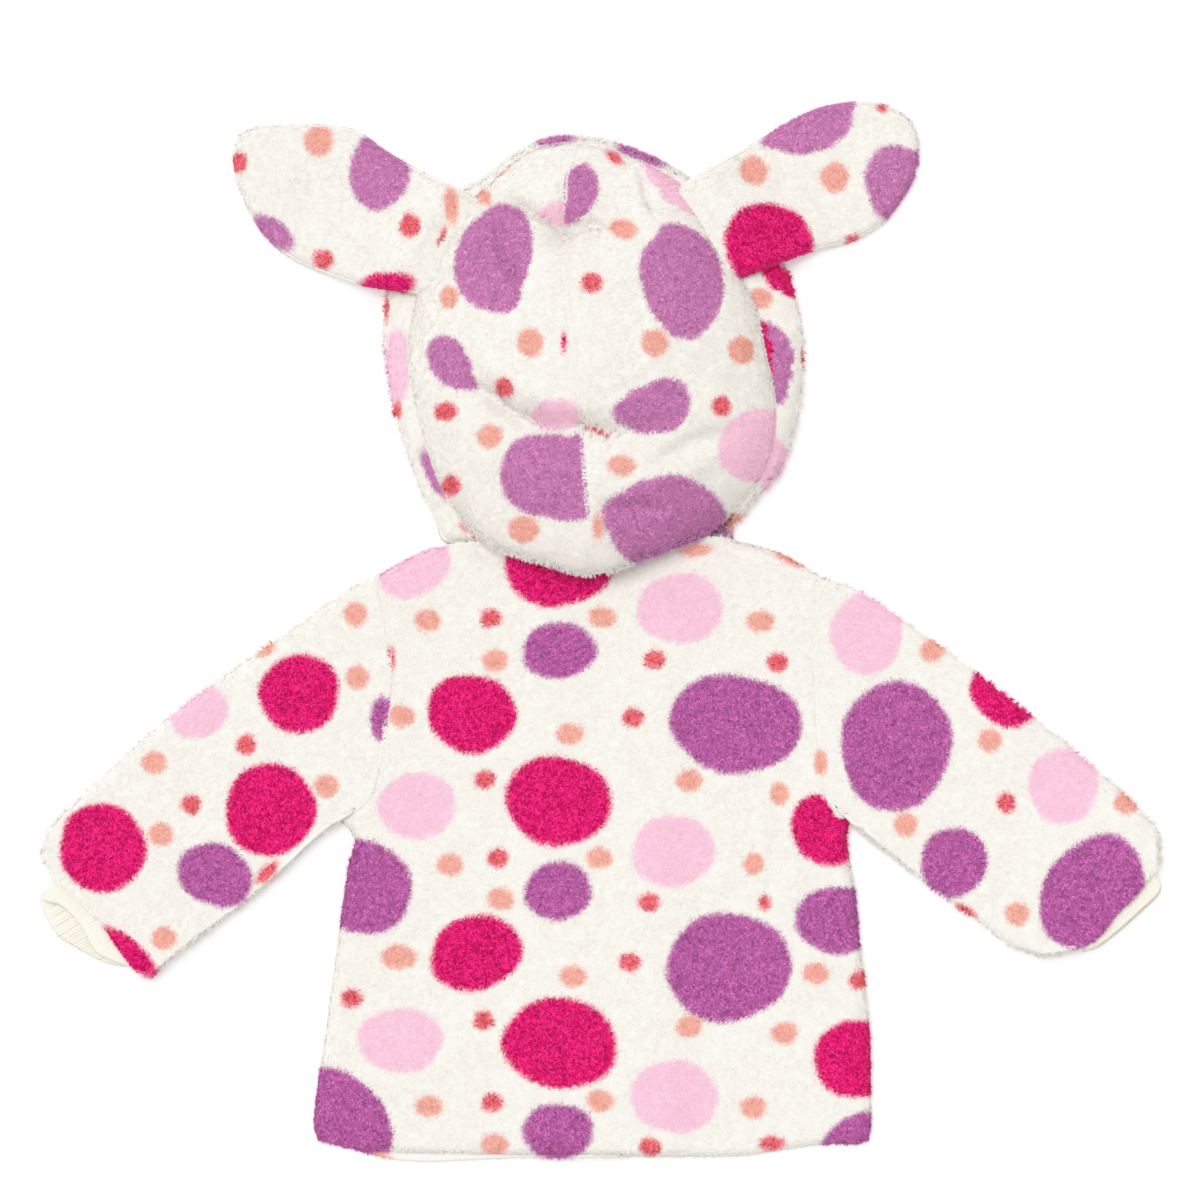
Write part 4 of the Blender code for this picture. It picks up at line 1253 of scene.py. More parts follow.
    def fringe(self, rng: np.random.Generator) -> tuple[Array, Array, Array]:
        """Roots along the edges, the ways out over them, and the normals there.

        Args:
            rng: The random source.

        Returns:
            The roots, the ways and the normals.
        """
        roots, ways, normals = [], [], []
        for border in self.borders():
            line, inner = self.towards(border, self.points)[:2]
            normal = self.towards(border, self.normals)[0]
            seam = border not in self.hems
            outward = unit(line - inner)
            amount = int(lengths(line)[-1] * self.density * (SEAM_FIBRES if seam else HEM_FIBRES))
            spots = rng.uniform(0.0, lengths(line)[-1], amount)
            base = at_distances(line, spots)
            nearest = np.rint(np.interp(spots, lengths(line), np.arange(len(line)))).astype(int)
            outward, normal = outward[nearest], normal[nearest]
            turn = np.radians(rng.uniform(-FAN, FAN, (amount, 1)))
            rise = 0.1 if seam else rng.uniform(-0.25, 0.35, (amount, 1))
            fan = np.cos(turn) * outward + np.sin(turn) * unit(np.cross(normal, outward))
            sink = rng.uniform(-0.25 if seam else 0.0, 0.1 if seam else KNIT, (amount, 1))
            back = rng.uniform(-0.3, 1.2, (amount, 1)) if seam else 0.0
            roots.append(base - sink * normal - back * outward)
            ways.append(unit(fan + rise * normal))
            normals.append(normal)
        return np.concatenate(roots), np.concatenate(ways), np.concatenate(normals)


@dataclass(frozen=True)
class Pile:
    """How a plush pile grows: small tufts whose fibres lean the same way."""

    tuft: int = 3  # fibres in each
    spread: float = 0.4
    length: float = 2.0
    width: float = 0.75
    lift: tuple[float, float] = (-0.1, 0.32)  # of a fibre's root over the knit
    lean: tuple[float, float] = (70.0, 86.0)  # from upright, in degrees
    standing: float = 48.0  # how many degrees more upright where the cloth turns down
    longer: float = 0.5  # and how much longer
    lit: float = 1.3  # and how far turned up to the light
    nap: tuple[float, float, float] = (0.15, -0.4, 0.0)  # the way that most tufts lean
    nap_pull: float = 1.5  # how strong the nap is against chance
    stray: float = 0.45  # how far a fibre strays from its tuft's way
    wobble: float = 4.0  # and from its lean, in degrees
    edge_lean: float = 12.0  # the most that a border's fibres lean
    longest: tuple[float, float] = (0.7, 1.3)  # the range of lengths, as shares
    widest: tuple[float, float] = (0.75, 1.3)
    root_jitter: float = 0.45  # how ragged a dot's edge is
    speckle: float = 0.8  # how uneven a deep colour is
    deepening: float = 3.2  # the power that tells deep colours from pale ones
    limits: tuple[float, float] = (-0.5, 0.48)  # the darkest and lightest fibre
    # painted shade on a deep colour's root corners, and painted light on its tip
    root_painted_shade: float = 0.2
    tip_painted_light: float = 0.1
    evenness: float = 0.92  # how far a fibre takes the light as the cloth under it does
    most: int = 150_000  # fibres in one mesh

    def grow(self, cloth: Cloth, ink: Ink, material: bpy.types.Material) -> list[bpy.types.Object]:
        """Grows the pile on a piece of cloth.

        Args:
            cloth: The cloth.
            ink: Gives the colours at an array of points and normals.
            material: The finish.

        Returns:
            Meshes of the fibres, a thin triangle each, from the top of the piece down.
        """
        rng = np.random.default_rng(cloth.seed)
        roots, normals = cloth.scatter(1.0 / self.tuft, rng)
        edge_roots, edge_ways, edge_normals = cloth.fringe(rng)
        lean_way = unit(rng.normal(size=roots.shape) + np.array(self.nap) * self.nap_pull)
        steep = (1.0 - smoothstep(0.1, 0.55, normals[:, 2])) * (normals[:, 2] > -0.05)
        lean = np.radians(rng.uniform(*self.lean, len(roots)) - self.standing * steep)
        tone = rng.normal(size=(len(roots), 1))
        stretch = 1.0 + self.longer * steep[:, None]
        repeat = np.repeat(np.arange(len(roots)), self.tuft)
        roots, normals, lean_way, lean, tone, stretch = (
            values[repeat] for values in (roots, normals, lean_way, lean, tone, stretch)
        )
        stretch = np.concatenate((stretch, np.ones((len(edge_roots), 1))))
        spread = rng.normal(scale=self.spread, size=roots.shape)
        spread = spread - (spread * normals).sum(1)[:, None] * normals
        roots = np.concatenate((roots + spread, edge_roots))
        facing = np.concatenate((normals, edge_normals))
        steep = np.concatenate((steep[repeat], 1.0 - smoothstep(0.1, 0.55, edge_normals[:, 2])))
        lift = rng.uniform(*self.lift, (len(facing), 1)) * facing
        facing = unit(facing + steep[:, None] * np.array((0.0, 0.0, self.lit)))
        normals = np.concatenate((normals, edge_ways))
        lean_way = np.concatenate((lean_way, rng.normal(size=edge_roots.shape)))
        lean = np.concatenate((lean, np.radians(rng.uniform(0.0, self.edge_lean, len(edge_roots)))))
        tone = np.concatenate((tone, rng.normal(size=(len(edge_roots), 1))))
        amount = len(roots)
        lean_way = lean_way + rng.normal(scale=self.stray, size=lean_way.shape)
        lean = lean + np.radians(rng.normal(scale=self.wobble, size=amount))
        flat_way = unit(lean_way - (lean_way * normals).sum(1)[:, None] * normals)
        way = np.cos(lean)[:, None] * normals + np.sin(lean)[:, None] * flat_way
        side = unit(np.cross(facing, way))
        reach = self.length * stretch * rng.uniform(*self.longest, (amount, 1))
        half = self.width / 2 * rng.uniform(*self.widest, (amount, 1))
        base = roots + lift
        corners = np.stack((base + half * side, base - half * side, base + reach * way), axis=1)
        facing = unit(self.evenness * facing + (1.0 - self.evenness) * np.cross(way, side))
        turned = (np.cross(way, side) * facing).sum(1) < 0.0
        corners[turned] = corners[turned][:, (1, 0, 2)]
        corners[..., 2] = np.maximum(corners[..., 2], ABOVE_TABLE)
        spot = roots + rng.normal(scale=self.root_jitter, size=roots.shape)
        colours = self.shades(ink(spot, normals), tone, rng)
        items = []
        shares = math.ceil(amount / self.most)
        for part in np.array_split(np.argsort(-roots[:, 1], kind="stable"), shares):
            order = part[self.in_rows(roots[part])]
            name = f"{cloth.name}_pile" + (f"_{len(items) + 1}" if shares > 1 else "")
            faces = np.arange(len(order) * 3).reshape(-1, 3)
            light = np.repeat(facing[order], 3, axis=0)
            items.append(add_mesh(name, corners[order], faces, colours[order], material, light))
            add_map(items[-1], self.cells(len(order)))
        return items

    def shades(self, colour: Array, tone: Array, rng: np.random.Generator) -> Array:
        """Each fibre's colour: its root's at a random tone, with painted shade and light on it.

        Args:
            colour: The print's colour at each root.
            tone: How light or dark each fibre's tuft is.
            rng: The random source.

        Returns:
            The colours of each fibre's two root corners and of its tip.
        """
        deep = np.clip(1.0 - brightness(colour), 0.0, 1.0) ** self.deepening
        uneven = (0.75 * tone + 0.65 * rng.normal(size=tone.shape)) * (0.02 + self.speckle * deep)
        uneven = np.clip(uneven, *self.limits)
        # painted shade at the roots, down in the pile, and painted light at the tips
        root, tip = 1.0 - self.root_painted_shade * deep, 1.0 + self.tip_painted_light * deep
        shades = np.stack((root, root, tip), axis=1)
        # painted sheen: the lighter fibres are mixed a little towards white
        painted_sheen = 0.05 * np.clip(uneven, 0.0, 1.0)[:, None]
        return np.clip(colour[:, None, :] * (1.0 + uneven)[:, None] * shades + painted_sheen, 0.0, 1.0)

    @staticmethod
    def in_rows(roots: Array) -> Array:
        """An order of the roots in rows from the top left, as many rows as columns.

        Args:
            roots: The fibres' roots.

        Returns:
            Indices of the roots in that order.
        """
        side = math.ceil(math.sqrt(len(roots)))
        down = np.argsort(-roots[:, 1], kind="stable")
        found = []
        for first in range(0, len(down), side):
            row = down[first : first + side]
            found.append(row[np.argsort(roots[row, 0], kind="stable")])
        return np.concatenate(found)

    @staticmethod
    def cells(amount: int) -> Array:
        """A small triangle of the map for each fibre, in rows of square cells.

        Args:
            amount: How many fibres the map holds.

        Returns:
            Three places on the map for each fibre.
        """
        side = math.ceil(math.sqrt(amount))
        row, column = np.divmod(np.arange(amount), side)
        low = np.stack((column, side - 1 - row), axis=1)[:, None, :]
        corner = np.array(((0.08, 0.08), (0.92, 0.08), (0.5, 0.92)))[None]
        return (low + corner) / side


# Body


def column_line(table: tuple, side: Side) -> Array:
    """The line of a table of y, left x and right x."""
    column = 1 if side is Side.LEFT else 2
    return smooth([(row[column], row[0]) for row in table])


def neck_point(bearing: Array, radius: Array) -> Array:
    """Plan points at bearings in degrees round the hood's centre."""
    angle = np.radians(bearing)
    return HOOD_CENTRE + np.asarray(radius)[..., None] * np.stack((np.cos(angle), np.sin(angle)), axis=-1)


def hood_rows(bearing: Array) -> Array:
    """The hood's table read at bearings, on a smooth closed curve.

    Args:
        bearing: Degrees from +X.

    Returns:
        The table's four columns at each bearing.
    """
    place = (np.asarray(bearing, float) % 360.0) / HOOD_STEP
    index = np.floor(place).astype(int)
    t = (place - index)[..., None]
    p0, p1, p2, p3 = (HOOD[(index + k) % len(HOOD)] for k in (-1, 0, 1, 2))
    return between(p0, p1, p2, p3, t)


def crown_reach(rows: Array, share: Array | float) -> Array:
    """The dome's reach by its table's rows, at shares of the way from top to edge."""
    turn = np.radians(rows[..., 2])
    return rows[..., 0] * np.sin(share * turn) / np.sin(np.minimum(turn, math.pi / 2))


def on_disc(across: Array, along: Array) -> tuple[Array, Array, Array]:
    """Places of the crown's square chart on a disc: x, y and the bearing in degrees."""
    x, y = across * np.sqrt(1.0 - along**2 / 2.0), along * np.sqrt(1.0 - across**2 / 2.0)
    return x, y, np.degrees(np.arctan2(y, x)) % 360.0


def seam_wander(across: Array, along: Array) -> Array:
    """How far the hood's seam and what lies beside it wander, at shares of the crown."""
    return np.interp(along, SEAM_WANDER[:, 0], SEAM_WANDER[:, 1]) * (1.0 - np.abs(across)) ** 3


@dataclass
class Body:
    """The back and the two lapped fronts."""

    back_print: Print = field(default_factory=lambda: Print(BACK_DOTS, 3, small=BACK_SMALL))
    folds: tuple = (
        # a soft trough down the right of the back, and the ridge beside it
        (((112, -83, 0), (108, -104, 1.5), (104, -130, 2.2), (101, -150, 1.8), (95, -172, 0)), 6),
        (((122, -92, 0), (118, -120, -1.3), (113, -150, -1.4), (108, -185, 0)), 8),
        (((88, -100, 0), (90, -122, 1.2), (84, -150, 1), (80, -175, 0)), 7),
        # small creases by the armpits
        (((-86, -122, 0), (-88, -133, 1.2), (-90, -142, 0)), 3),
        (((-156, -116, 2.6), (-143, -122, 2.6), (-128, -134, 0)), 4.5),
        (((149, -115, 3), (139, -118, 2.2), (128, -124, 0)), 3.8),
        (((-140, -128, 0), (-120, -150, 1.1), (-104, -160, 0)), 6),
        (((140, -225, 0), (146, -190, 1), (142, -160, 0)), 7),
        (((-150, -255, 0), (-146, -225, 0.9), (-148, -195, 0)), 8),
    )
    waves: tuple = ((0.45, 75.0, 5), (0.225, 32.0, 6))

    def shoulder_line(self, side: Side) -> Array:
        """From the armhole in to the neck's corner.

        Args:
            side: Which side.

        Returns:
            The line's points.
        """
        bearing = 270.0 + side.sign * (270.0 - NECK_CORNER)
        corner = neck_point(np.array(bearing), hood_rows(bearing)[1] + NECK_FRONT_GAP)
        return smooth([*SHOULDERS[side], tuple(corner)])

    def shoulder_marks(self, side: Side) -> Array:
        """Marks along the shoulder, closer together at its fold."""
        total = lengths(self.shoulder_line(side))[-1]
        return np.concatenate((EDGE_STEPS, np.linspace(SIDE_ROUND, total, 4)[1:]))

    def side_edge(self, side: Side) -> Edge:
        """The side and the armhole, from the hem's corner to the shoulder.

        Args:
            side: Which side.

        Returns:
            The edge.
        """
        flank, armhole = column_line(SIDES, side), column_line(ARMHOLES, side)
        total = lengths(flank)[-1]
        marks = np.concatenate(((0.0, 2.0, 6.0), np.linspace(14.0, total - 27.0, 7), (total - 14.0, total)))
        above = crowded(lengths(armhole)[-1], 6)[1:] + total
        return Edge(np.vstack((flank, armhole[1:])), np.concatenate((marks, above)))

    def back_neckline(self) -> Array:
        """The back's neck edge, under the hood's seam.

        Returns:
            The line's points, from left to right.
        """
        bearings = np.arange(240.0, 301.0, 5.0)
        inner = neck_point(bearings, crown_reach(hood_rows(bearings), 1.0) - NECK_BACK_INSET)
        return np.vstack((self.shoulder_line(Side.LEFT)[-1], inner, self.shoulder_line(Side.RIGHT)[-1]))

    def edge_distance(self, plan: Array) -> Array:
        """How far each plan point lies from the folded edges.

        Args:
            plan: Plan points, in a grid of any shape.

        Returns:
            The distances.
        """
        lines = [column_line(SIDES, side) for side in Side]
        lines += [self.shoulder_line(side) for side in Side]
        return np.min([away_from(plan, line)[0] for line in lines], axis=0)

    def seam_distance(self, plan: Array) -> Array:
        """How far each plan point lies from the armhole seams."""
        return np.min([away_from(plan, column_line(ARMHOLES, side))[0] for side in Side], axis=0)

    def back(self) -> Cloth:
        """The back, over the fronts.

        Returns:
            The cloth.
        """
        hem = smooth([(row[0], row[1]) for row in HEMS])
        bottom = Edge(hem, crowded(lengths(hem)[-1], 14))
        left, right = self.shoulder_line(Side.LEFT), self.shoulder_line(Side.RIGHT)
        neck = self.back_neckline()
        line = np.vstack((left, neck[1:-1], right[::-1]))
        spans = lengths(left)[-1], lengths(neck)[-1], lengths(right)[-1]
        middle = np.linspace(0.0, spans[1], 9)[1:-1] + spans[0]
        last = sum(spans) - self.shoulder_marks(Side.RIGHT)[::-1]
        top = Edge(line, np.concatenate((self.shoulder_marks(Side.LEFT), middle, last)))
        plan = patch(bottom, top, self.side_edge(Side.LEFT), self.side_edge(Side.RIGHT), FINE)
        side_gap, hem_gap = self.edge_distance(plan), away_from(plan, hem)[0]
        lap = self.lap_height(plan)
        rise = smoothstep(0.0, HEM_SAG_REACH, hem_gap) * (1.0 - lap / (FLEECE + SEAM_GAP))
        full = FLAT_HEIGHT - HEM_SAG + HEM_SAG * rise + lap
        hem_round = HEM_EDGE + (1.0 - HEM_EDGE) * rounded(hem_gap, HEM_ROUND)
        height = SEAM_LEVEL + (full - SEAM_LEVEL) * rounded(side_gap, SIDE_ROUND) * hem_round
        fade = smoothstep(0.0, 18.0, np.minimum(side_gap, hem_gap))
        relief = waves(plan, self.waves)
        for rows, width in self.folds:
            relief = relief - crease_depth(plan, rows, width)
        seam = self.seam_distance(plan)
        relief = relief * fade + seam_ridge(seam) * fade
        height = height + relief - seam_groove(seam) * rounded(side_gap, SIDE_ROUND)
        return Cloth(
            "back", raised(plan, height), self.back_print.colours(plan), hems=(Border.FIRST,), seed=21
        )

    def back_ink(self, spots: Array, _: Array) -> Array:
        """The back's print."""
        return self.back_print.colours(spots)

    def front_ink(self, spots: Array, _: Array | None = None) -> Array:
        """The fronts' print.

        Args:
            spots: Points of the fronts.

        Returns:
            Their colours.
        """
        hem = smooth([(row[0], row[2]) for row in HEMS])
        from_edge = np.minimum(self.edge_distance(spots), away_from(spots, hem)[0])
        return under_print(self.back_print, spots, from_edge)

    def lap_height(self, plan: Array) -> Array:
        """How much the lapped front lifts what lies on it."""
        spread = 1.0 - smoothstep(*LAP_LIFT, np.abs(plan[..., 0]))
        return (FLEECE + SEAM_GAP) * spread * (1.0 - smoothstep(*LAP_NECK, plan[..., 1]))

    def front(self, side: Side) -> Cloth:
        """One front, its outer face on the surface below. The left one laps over the right.

        Args:
            side: Which side.

        Returns:
            The cloth.
        """
        sign = side.sign
        lap = -sign * LAP_HALF
        hem = smooth([(row[0], row[2]) for row in HEMS])[::-sign]
        lap_at = np.interp(lap * -sign, hem[:, 0] * -sign, lengths(hem))
        marks = np.concatenate((EDGE_STEPS, np.linspace(SIDE_ROUND, lap_at, 11)[1:]))
        bottom = Edge(hem, marks)
        bearings = np.arange(NECK_CORNER, 276.0, 1.0)
        bearings = bearings if side is Side.LEFT else 540.0 - bearings
        neck = neck_point(bearings, hood_rows(bearings)[:, 1] + NECK_FRONT_GAP)
        order = np.argsort(neck[:, 0])
        end = (lap, np.interp(lap, neck[order, 0], neck[order, 1]))
        neck = np.vstack((neck[(neck[:, 0] - lap) * sign > 0.0], end))
        shoulder = self.shoulder_line(side)
        total, across = lengths(shoulder)[-1], lengths(neck)[-1]
        top = Edge(
            np.vstack((shoulder, neck[1:])),
            np.concatenate((self.shoulder_marks(side), np.linspace(0.0, across, 8)[1:] + total)),
        )
        outer = self.side_edge(side)
        first = at_distances(hem, marks[-1:])[0]
        ratio = np.linalg.norm(np.array(end) - first) / outer.marks[-1]
        lap_edge = Edge(np.array((first, end)), outer.marks * ratio)
        plan = patch(bottom, top, outer, lap_edge, COARSE)
        lift = np.zeros(plan.shape[:2])
        if side is Side.LEFT:
            lift = (FLEECE + SEAM_GAP) * (1.0 - smoothstep(*LAP_CLIMB, -plan[..., 0]))
        under = 4.0 * (1.0 - rounded(self.edge_distance(plan), 0.8 * SIDE_ROUND))
        return Cloth(
            f"front_{side.value}",
            raised(plan, under + lift),
            self.front_ink(plan),
            flip=sign < 0,
            density=0.3,
            hems=(Border.FIRST, Border.END),
            seed=22 + sign,
        )


@dataclass
class Sleeve:
    """A sleeve and its cuff."""

    side: Side
    print_: Print
    waves: tuple = ((0.5, 60.0, 31), (0.25, 27.0, 32))
    rib_pitch: float = 2.1
    rib_depth: float = 0.22
    rib_columns: int = 360
    # painted shade: the colour down between the ribs
    rib_groove_painted_shade: tuple = (0.97, 0.91, 0.78)
    rib_ridge: tuple = (1.0, 0.975, 0.89)

    def rows(self) -> tuple[Array, Array]:
        """The tables of the two folds and of the hem, as dense lines."""
        table = SLEEVES[self.side]
        return smooth([row[:2] for row in table]), smooth([row[2:] for row in table])

    def plan(self, step: float) -> tuple[Array, Array]:
        """Plan points in rings down the sleeve, and each column's share of the way across.

        Args:
            step: The largest distance between points.

        Returns:
            The points, and the shares.
        """
        armhole = column_line(ARMHOLES, self.side)[::-1]
        marks = crowded(lengths(armhole)[-1], 6)
        end = smooth(SLEEVE_ENDS[self.side])
        start = Edge(armhole, marks)
        finish = Edge(end, marks / marks[-1] * lengths(end)[-1])
        folds = [Edge(line, SLEEVE_STEPS * lengths(line)[-1]) for line in self.rows()]
        plan = patch(start, finish, *folds, step)
        counts = counts_for(start, finish, step)
        first = start.points(counts)
        return plan, lengths(first) / marks[-1]

    def tube(self) -> Cloth:
        """The sleeve, round both its faces.

        Returns:
            The cloth.
        """
        plan, shares = self.plan(FINE)
        width = lengths(column_line(ARMHOLES, self.side))[-1]
        swell = rounded(np.minimum(shares, 1.0 - shares) * width, SIDE_ROUND)
        steps = counts_for(*[Edge(line, SLEEVE_STEPS * lengths(line)[-1]) for line in self.rows()], FINE)
        knots = np.concatenate(((0,), np.cumsum(steps)))
        along = np.interp(np.arange(len(plan)), knots, SLEEVE_STEPS)[:, None]
        opening = smoothstep(SLEEVE_RISE_FROM, 1.0, along)
        half = (FLAT_HEIGHT + (SLEEVE_END_HEIGHT - FLAT_HEIGHT) * opening) / 2
        relief = waves(plan, self.waves)
        seam = away_from(plan, column_line(ARMHOLES, self.side))[0]
        relief = relief + seam_ridge(seam)
        relief = relief * smoothstep(0.0, 0.7, swell) - seam_groove(seam) * swell
        over = raised(plan, half + half * swell + relief)
        under = raised(plan[:, -2:0:-1], half - (half * swell)[:, -2:0:-1])
        face = np.concatenate((over, under), axis=1)
        below = self.under_ink(plan[:, -2:0:-1])
        colours = np.concatenate((self.print_.colours(plan), below), axis=1)
        return Cloth(
            f"sleeve_{self.side.value}",
            face,
            colours,
            closed=True,
            flip=self.side is Side.LEFT,
            hems=(Border.LAST,),
            seed=40 + self.side.sign,
        )

    def ink(self, points: Array, normals: Array) -> Array:
        """The charted print above, the repeat below.

        Args:
            points: Points of the sleeve.
            normals: The normals there.

        Returns:
            Their colours.
        """
        above = normals[:, 2] > -0.15
        colour = self.under_ink(points)
        colour[above] = self.print_.colours(points[above])
        return colour

    def under_ink(self, spots: Array) -> Array:
        """The print below.

        Args:
            spots: Points of the sleeve, in a grid of any shape.

        Returns:
            Their colours.
        """
        lines = [*self.rows(), smooth(SLEEVE_ENDS[self.side])]
        from_edge = np.min([away_from(spots, line)[0] for line in lines], axis=0)
        return under_print(self.print_, spots, from_edge)

    def cuff(self, material: bpy.types.Material) -> bpy.types.Object:
        """The rib tube, from inside the sleeve to its lips.

        Args:
            material: The finish.

        Returns:
            The piece.
        """
        plan, _ = self.plan(FINE)
        hem, before = plan[-1], plan[-10]
        amount = 150
        share = np.linspace(0.0, 1.0, amount)
        spots = CUFF_SPAN[0] + (CUFF_SPAN[1] - CUFF_SPAN[0]) * share
        at_hem = at_distances(hem, spots * lengths(hem)[-1])
        inward = unit(at_distances(before, spots * lengths(before)[-1]) - at_hem)
        lips = CUFF_LIPS[self.side]
        upper, lower = (smooth([row[part] for row in lips]) for part in (slice(0, 2), slice(2, 4)))
        upper = at_distances(upper, share * lengths(upper)[-1])
        lower = at_distances(lower, share * lengths(lower)[-1])
        inside = at_hem + CUFF_INSIDE * inward
        rings = (
            (inside, inside),
            (at_hem, at_hem),
            ((at_hem + upper) / 2, (at_hem + lower) / 2),
            (upper, lower),
        )
        control = []
        for (over, under), (low, high) in zip(rings, CUFF_HEIGHTS):
            swell = rounded(np.minimum(share, 1.0 - share) * lengths(over)[-1], CUFF_ROUND)
            half, middle = (high - low) / 2, (high + low) / 2
            top, base = raised(over, middle + half * swell), raised(under, middle - half * swell)
            control.append(np.vstack((top, base[-2:0:-1])).ravel())
        rows = smooth(control, 6).reshape(-1, 2 * amount - 2, 3)
        face = np.stack([self.evenly(row, self.rib_columns) for row in rows])
        turns = np.arange(face.shape[1]) / face.shape[1]
        ribs = round(lengths(rows[1])[-1] / self.rib_pitch)
        wave = 0.5 + 0.5 * np.cos(2 * math.pi * ribs * turns)
        normals = grid_normals(face, True) * (-1.0 if self.side is Side.LEFT else 1.0)
        face = face - self.rib_depth * (1.0 - wave)[None, :, None] * normals
        # painted shade down between the ribs: the grooves take the darker, yellower colour
        groove, ridge = np.array(self.rib_groove_painted_shade), np.array(self.rib_ridge)
        colours = groove + (ridge - groove) * wave[None, :, None] * np.ones((len(face), 1, 1))
        cloth = Cloth(
            f"cuff_{self.side.value}",
            face,
            colours,
            closed=True,
            flip=self.side is Side.LEFT,
            hems=ROW_BORDERS,
        )
        cloth.points = face
        return cloth.shell(material, RIB - self.rib_depth)

    @staticmethod
    def evenly(row: Array, amount: int) -> Array:
        """A closed row of points as this many at even distances."""
        closed = np.vstack((row, row[:1]))
        return at_distances(closed, np.linspace(0.0, lengths(closed)[-1], amount + 1)[:-1])


# Hood


@dataclass
class Hood:
    """The crown's two halves and the band round the face."""

    prints: dict = field(default_factory=lambda: {side: Print(HOOD_DOTS[side], 5) for side in Side})
    band_print: Print = field(default_factory=lambda: Print(BAND_DOTS, 7))
    across: int = 58  # a half's cells from the seam out
    along: int = 128  # and from the face edge to the nape
    waves: tuple = ((0.7, 48.0, 51), (0.35, 22.0, 52))
    folds: tuple = (
        (BROW_CREASE, CREASE_WIDTH),
        (NAPE_CREASE, CREASE_WIDTH),
        # the smile: a sharp crease left of the seam, and a short one right of it
        (
            (
                (-89, 156, 0), (-80, 147, 2.2), (-72, 142, 4.8), (-62, 134, 5.8), (-52, 127, 5.6),
                (-40, 122, 4.6), (-28, 118, 2.4), (-20, 117, 0),
            ),
            3.2,
        ),
        (((-19, 127, 0), (-11, 122, 5.2), (0, 118, 6.2), (10, 115.5, 4.6), (20, 117, 0)), 2.4),
        (((10, 118, 0), (30, 117, 2.2), (52, 122, 0)), 4),
        # the bulge over the smile and the shade under it
        (((-84, 168, 0), (-60, 150, -2), (-40, 139, -2.4), (-18, 137, -2), (8, 142, -2), (34, 152, 0)), 7),
        (((-34, 143, 0), (-12, 139, 2.2), (4, 140, 3), (16, 144, 2.2), (30, 150, 0)), 5),
        # under it: the chin's trough on the right, and the crease across the low dot
        (((84, 124, 0), (70, 116, 3.4), (55, 110, 4.2), (40, 103, 3.6), (26, 98, 0)), 6.5),
        (((74, 104, 0), (52, 96, -2.4), (34, 90, -2.4), (18, 88, 0)), 6),
        (((-4, 77, 0), (4, 75, 4), (18, 73.5, 4.6), (30, 72, 3), (44, 75, 0)), 2.8),
        (((2, 84, 0), (18, 83, -2.2), (36, 84, 0)), 4.5),
        # the notch at the top: two short arms that meet on the seam
        (((-66, 261, 0), (-56, 258, 3.4), (-44, 253, 5), (-31, 248, 5.4), (-20, 240, 4.6)), 2.2),
        (((-20, 240, 3), (-8, 246, 5.2), (4, 245, 4), (20, 254, 0)), 2.6),
        (((-60, 268, 0), (-44, 259, -1.8), (-26, 253, -2), (-18, 248, 0)), 4),
        (((-18, 254, 0), (-6, 254, -2.4), (10, 256, 0)), 4.5),
        (((-22, 286, 0), (-23, 266, 2.4), (-21, 246, 2.4)), 2.6),
        # smaller ones
        (((24, 280, 0), (27, 268, 2.8), (31, 255, 3.4), (42, 250, 0)), 3.6),
        (((18, 268, 0), (22, 256, -1.8), (28, 246, 0)), 5),
        (((-66, 258, 0), (-63, 240, 3.6), (-58, 222, 4.6), (-50, 206, 3.4), (-44, 192, 0)), 2.4),
        (((-74, 242, 0), (-68, 218, -1.8), (-60, 197, 0)), 6),
        (((60, 170, 0), (78, 150, 1.8), (84, 125, 0)), 9),
    )

    def crown_points(self, share: Array, bearing: Array) -> Array:
        """Points of the dome, at shares of the way from its top to its edge.

        Args:
            share: 0 at the top to 1 at the edge.
            bearing: Degrees from +X.

        Returns:
            The points.
        """
        row = hood_rows(bearing)
        turn = np.radians(row[..., 2])
        fall = (np.cos(share * turn) - np.cos(turn)) / (1.0 - np.cos(turn))
        height = row[..., 3] + (HOOD_TOP - row[..., 3]) * fall
        return raised(neck_point(bearing, crown_reach(row, share)), height)

    def crown_slopes(self, share: Array, bearing: Array) -> tuple[Array, Array]:
        """The dome's outward normals and its downhill directions.

        Args:
            share: 0 at the top to 1 at the edge.
            bearing: Degrees from +X.

        Returns:
            The normals and the directions.
        """
        step = 1e-3
        share = np.maximum(share, 2 * step)
        down = self.crown_points(share + step, bearing) - self.crown_points(share - step, bearing)
        around = self.crown_points(share, bearing + 0.2) - self.crown_points(share, bearing - 0.2)
        return unit(np.cross(down, around)), unit(down)

    def surface(self, across: Array, along: Array) -> tuple[Array, Array, Array]:
        """The crown's creased face at places of its square chart.

        Args:
            across: -1 at the left edge to 1 at the right.
            along: -1 at the nape to 1 at the face edge.

        Returns:
            The points, the dome's normals, and the share of the way to the edge.
        """
        x, y, bearing = on_disc(across, along)
        share = np.minimum(np.hypot(x, y), 1.0)
        points = self.crown_points(share, bearing)
        points[..., 0] += seam_wander(x, y)
        normals, _ = self.crown_slopes(share, bearing)
        depth = sum(crease_depth(points, rows, width) for rows, width in self.folds)
        depth = depth + waves(points, self.waves) * (1 - share**6)
        return points - depth[..., None] * normals, normals, share

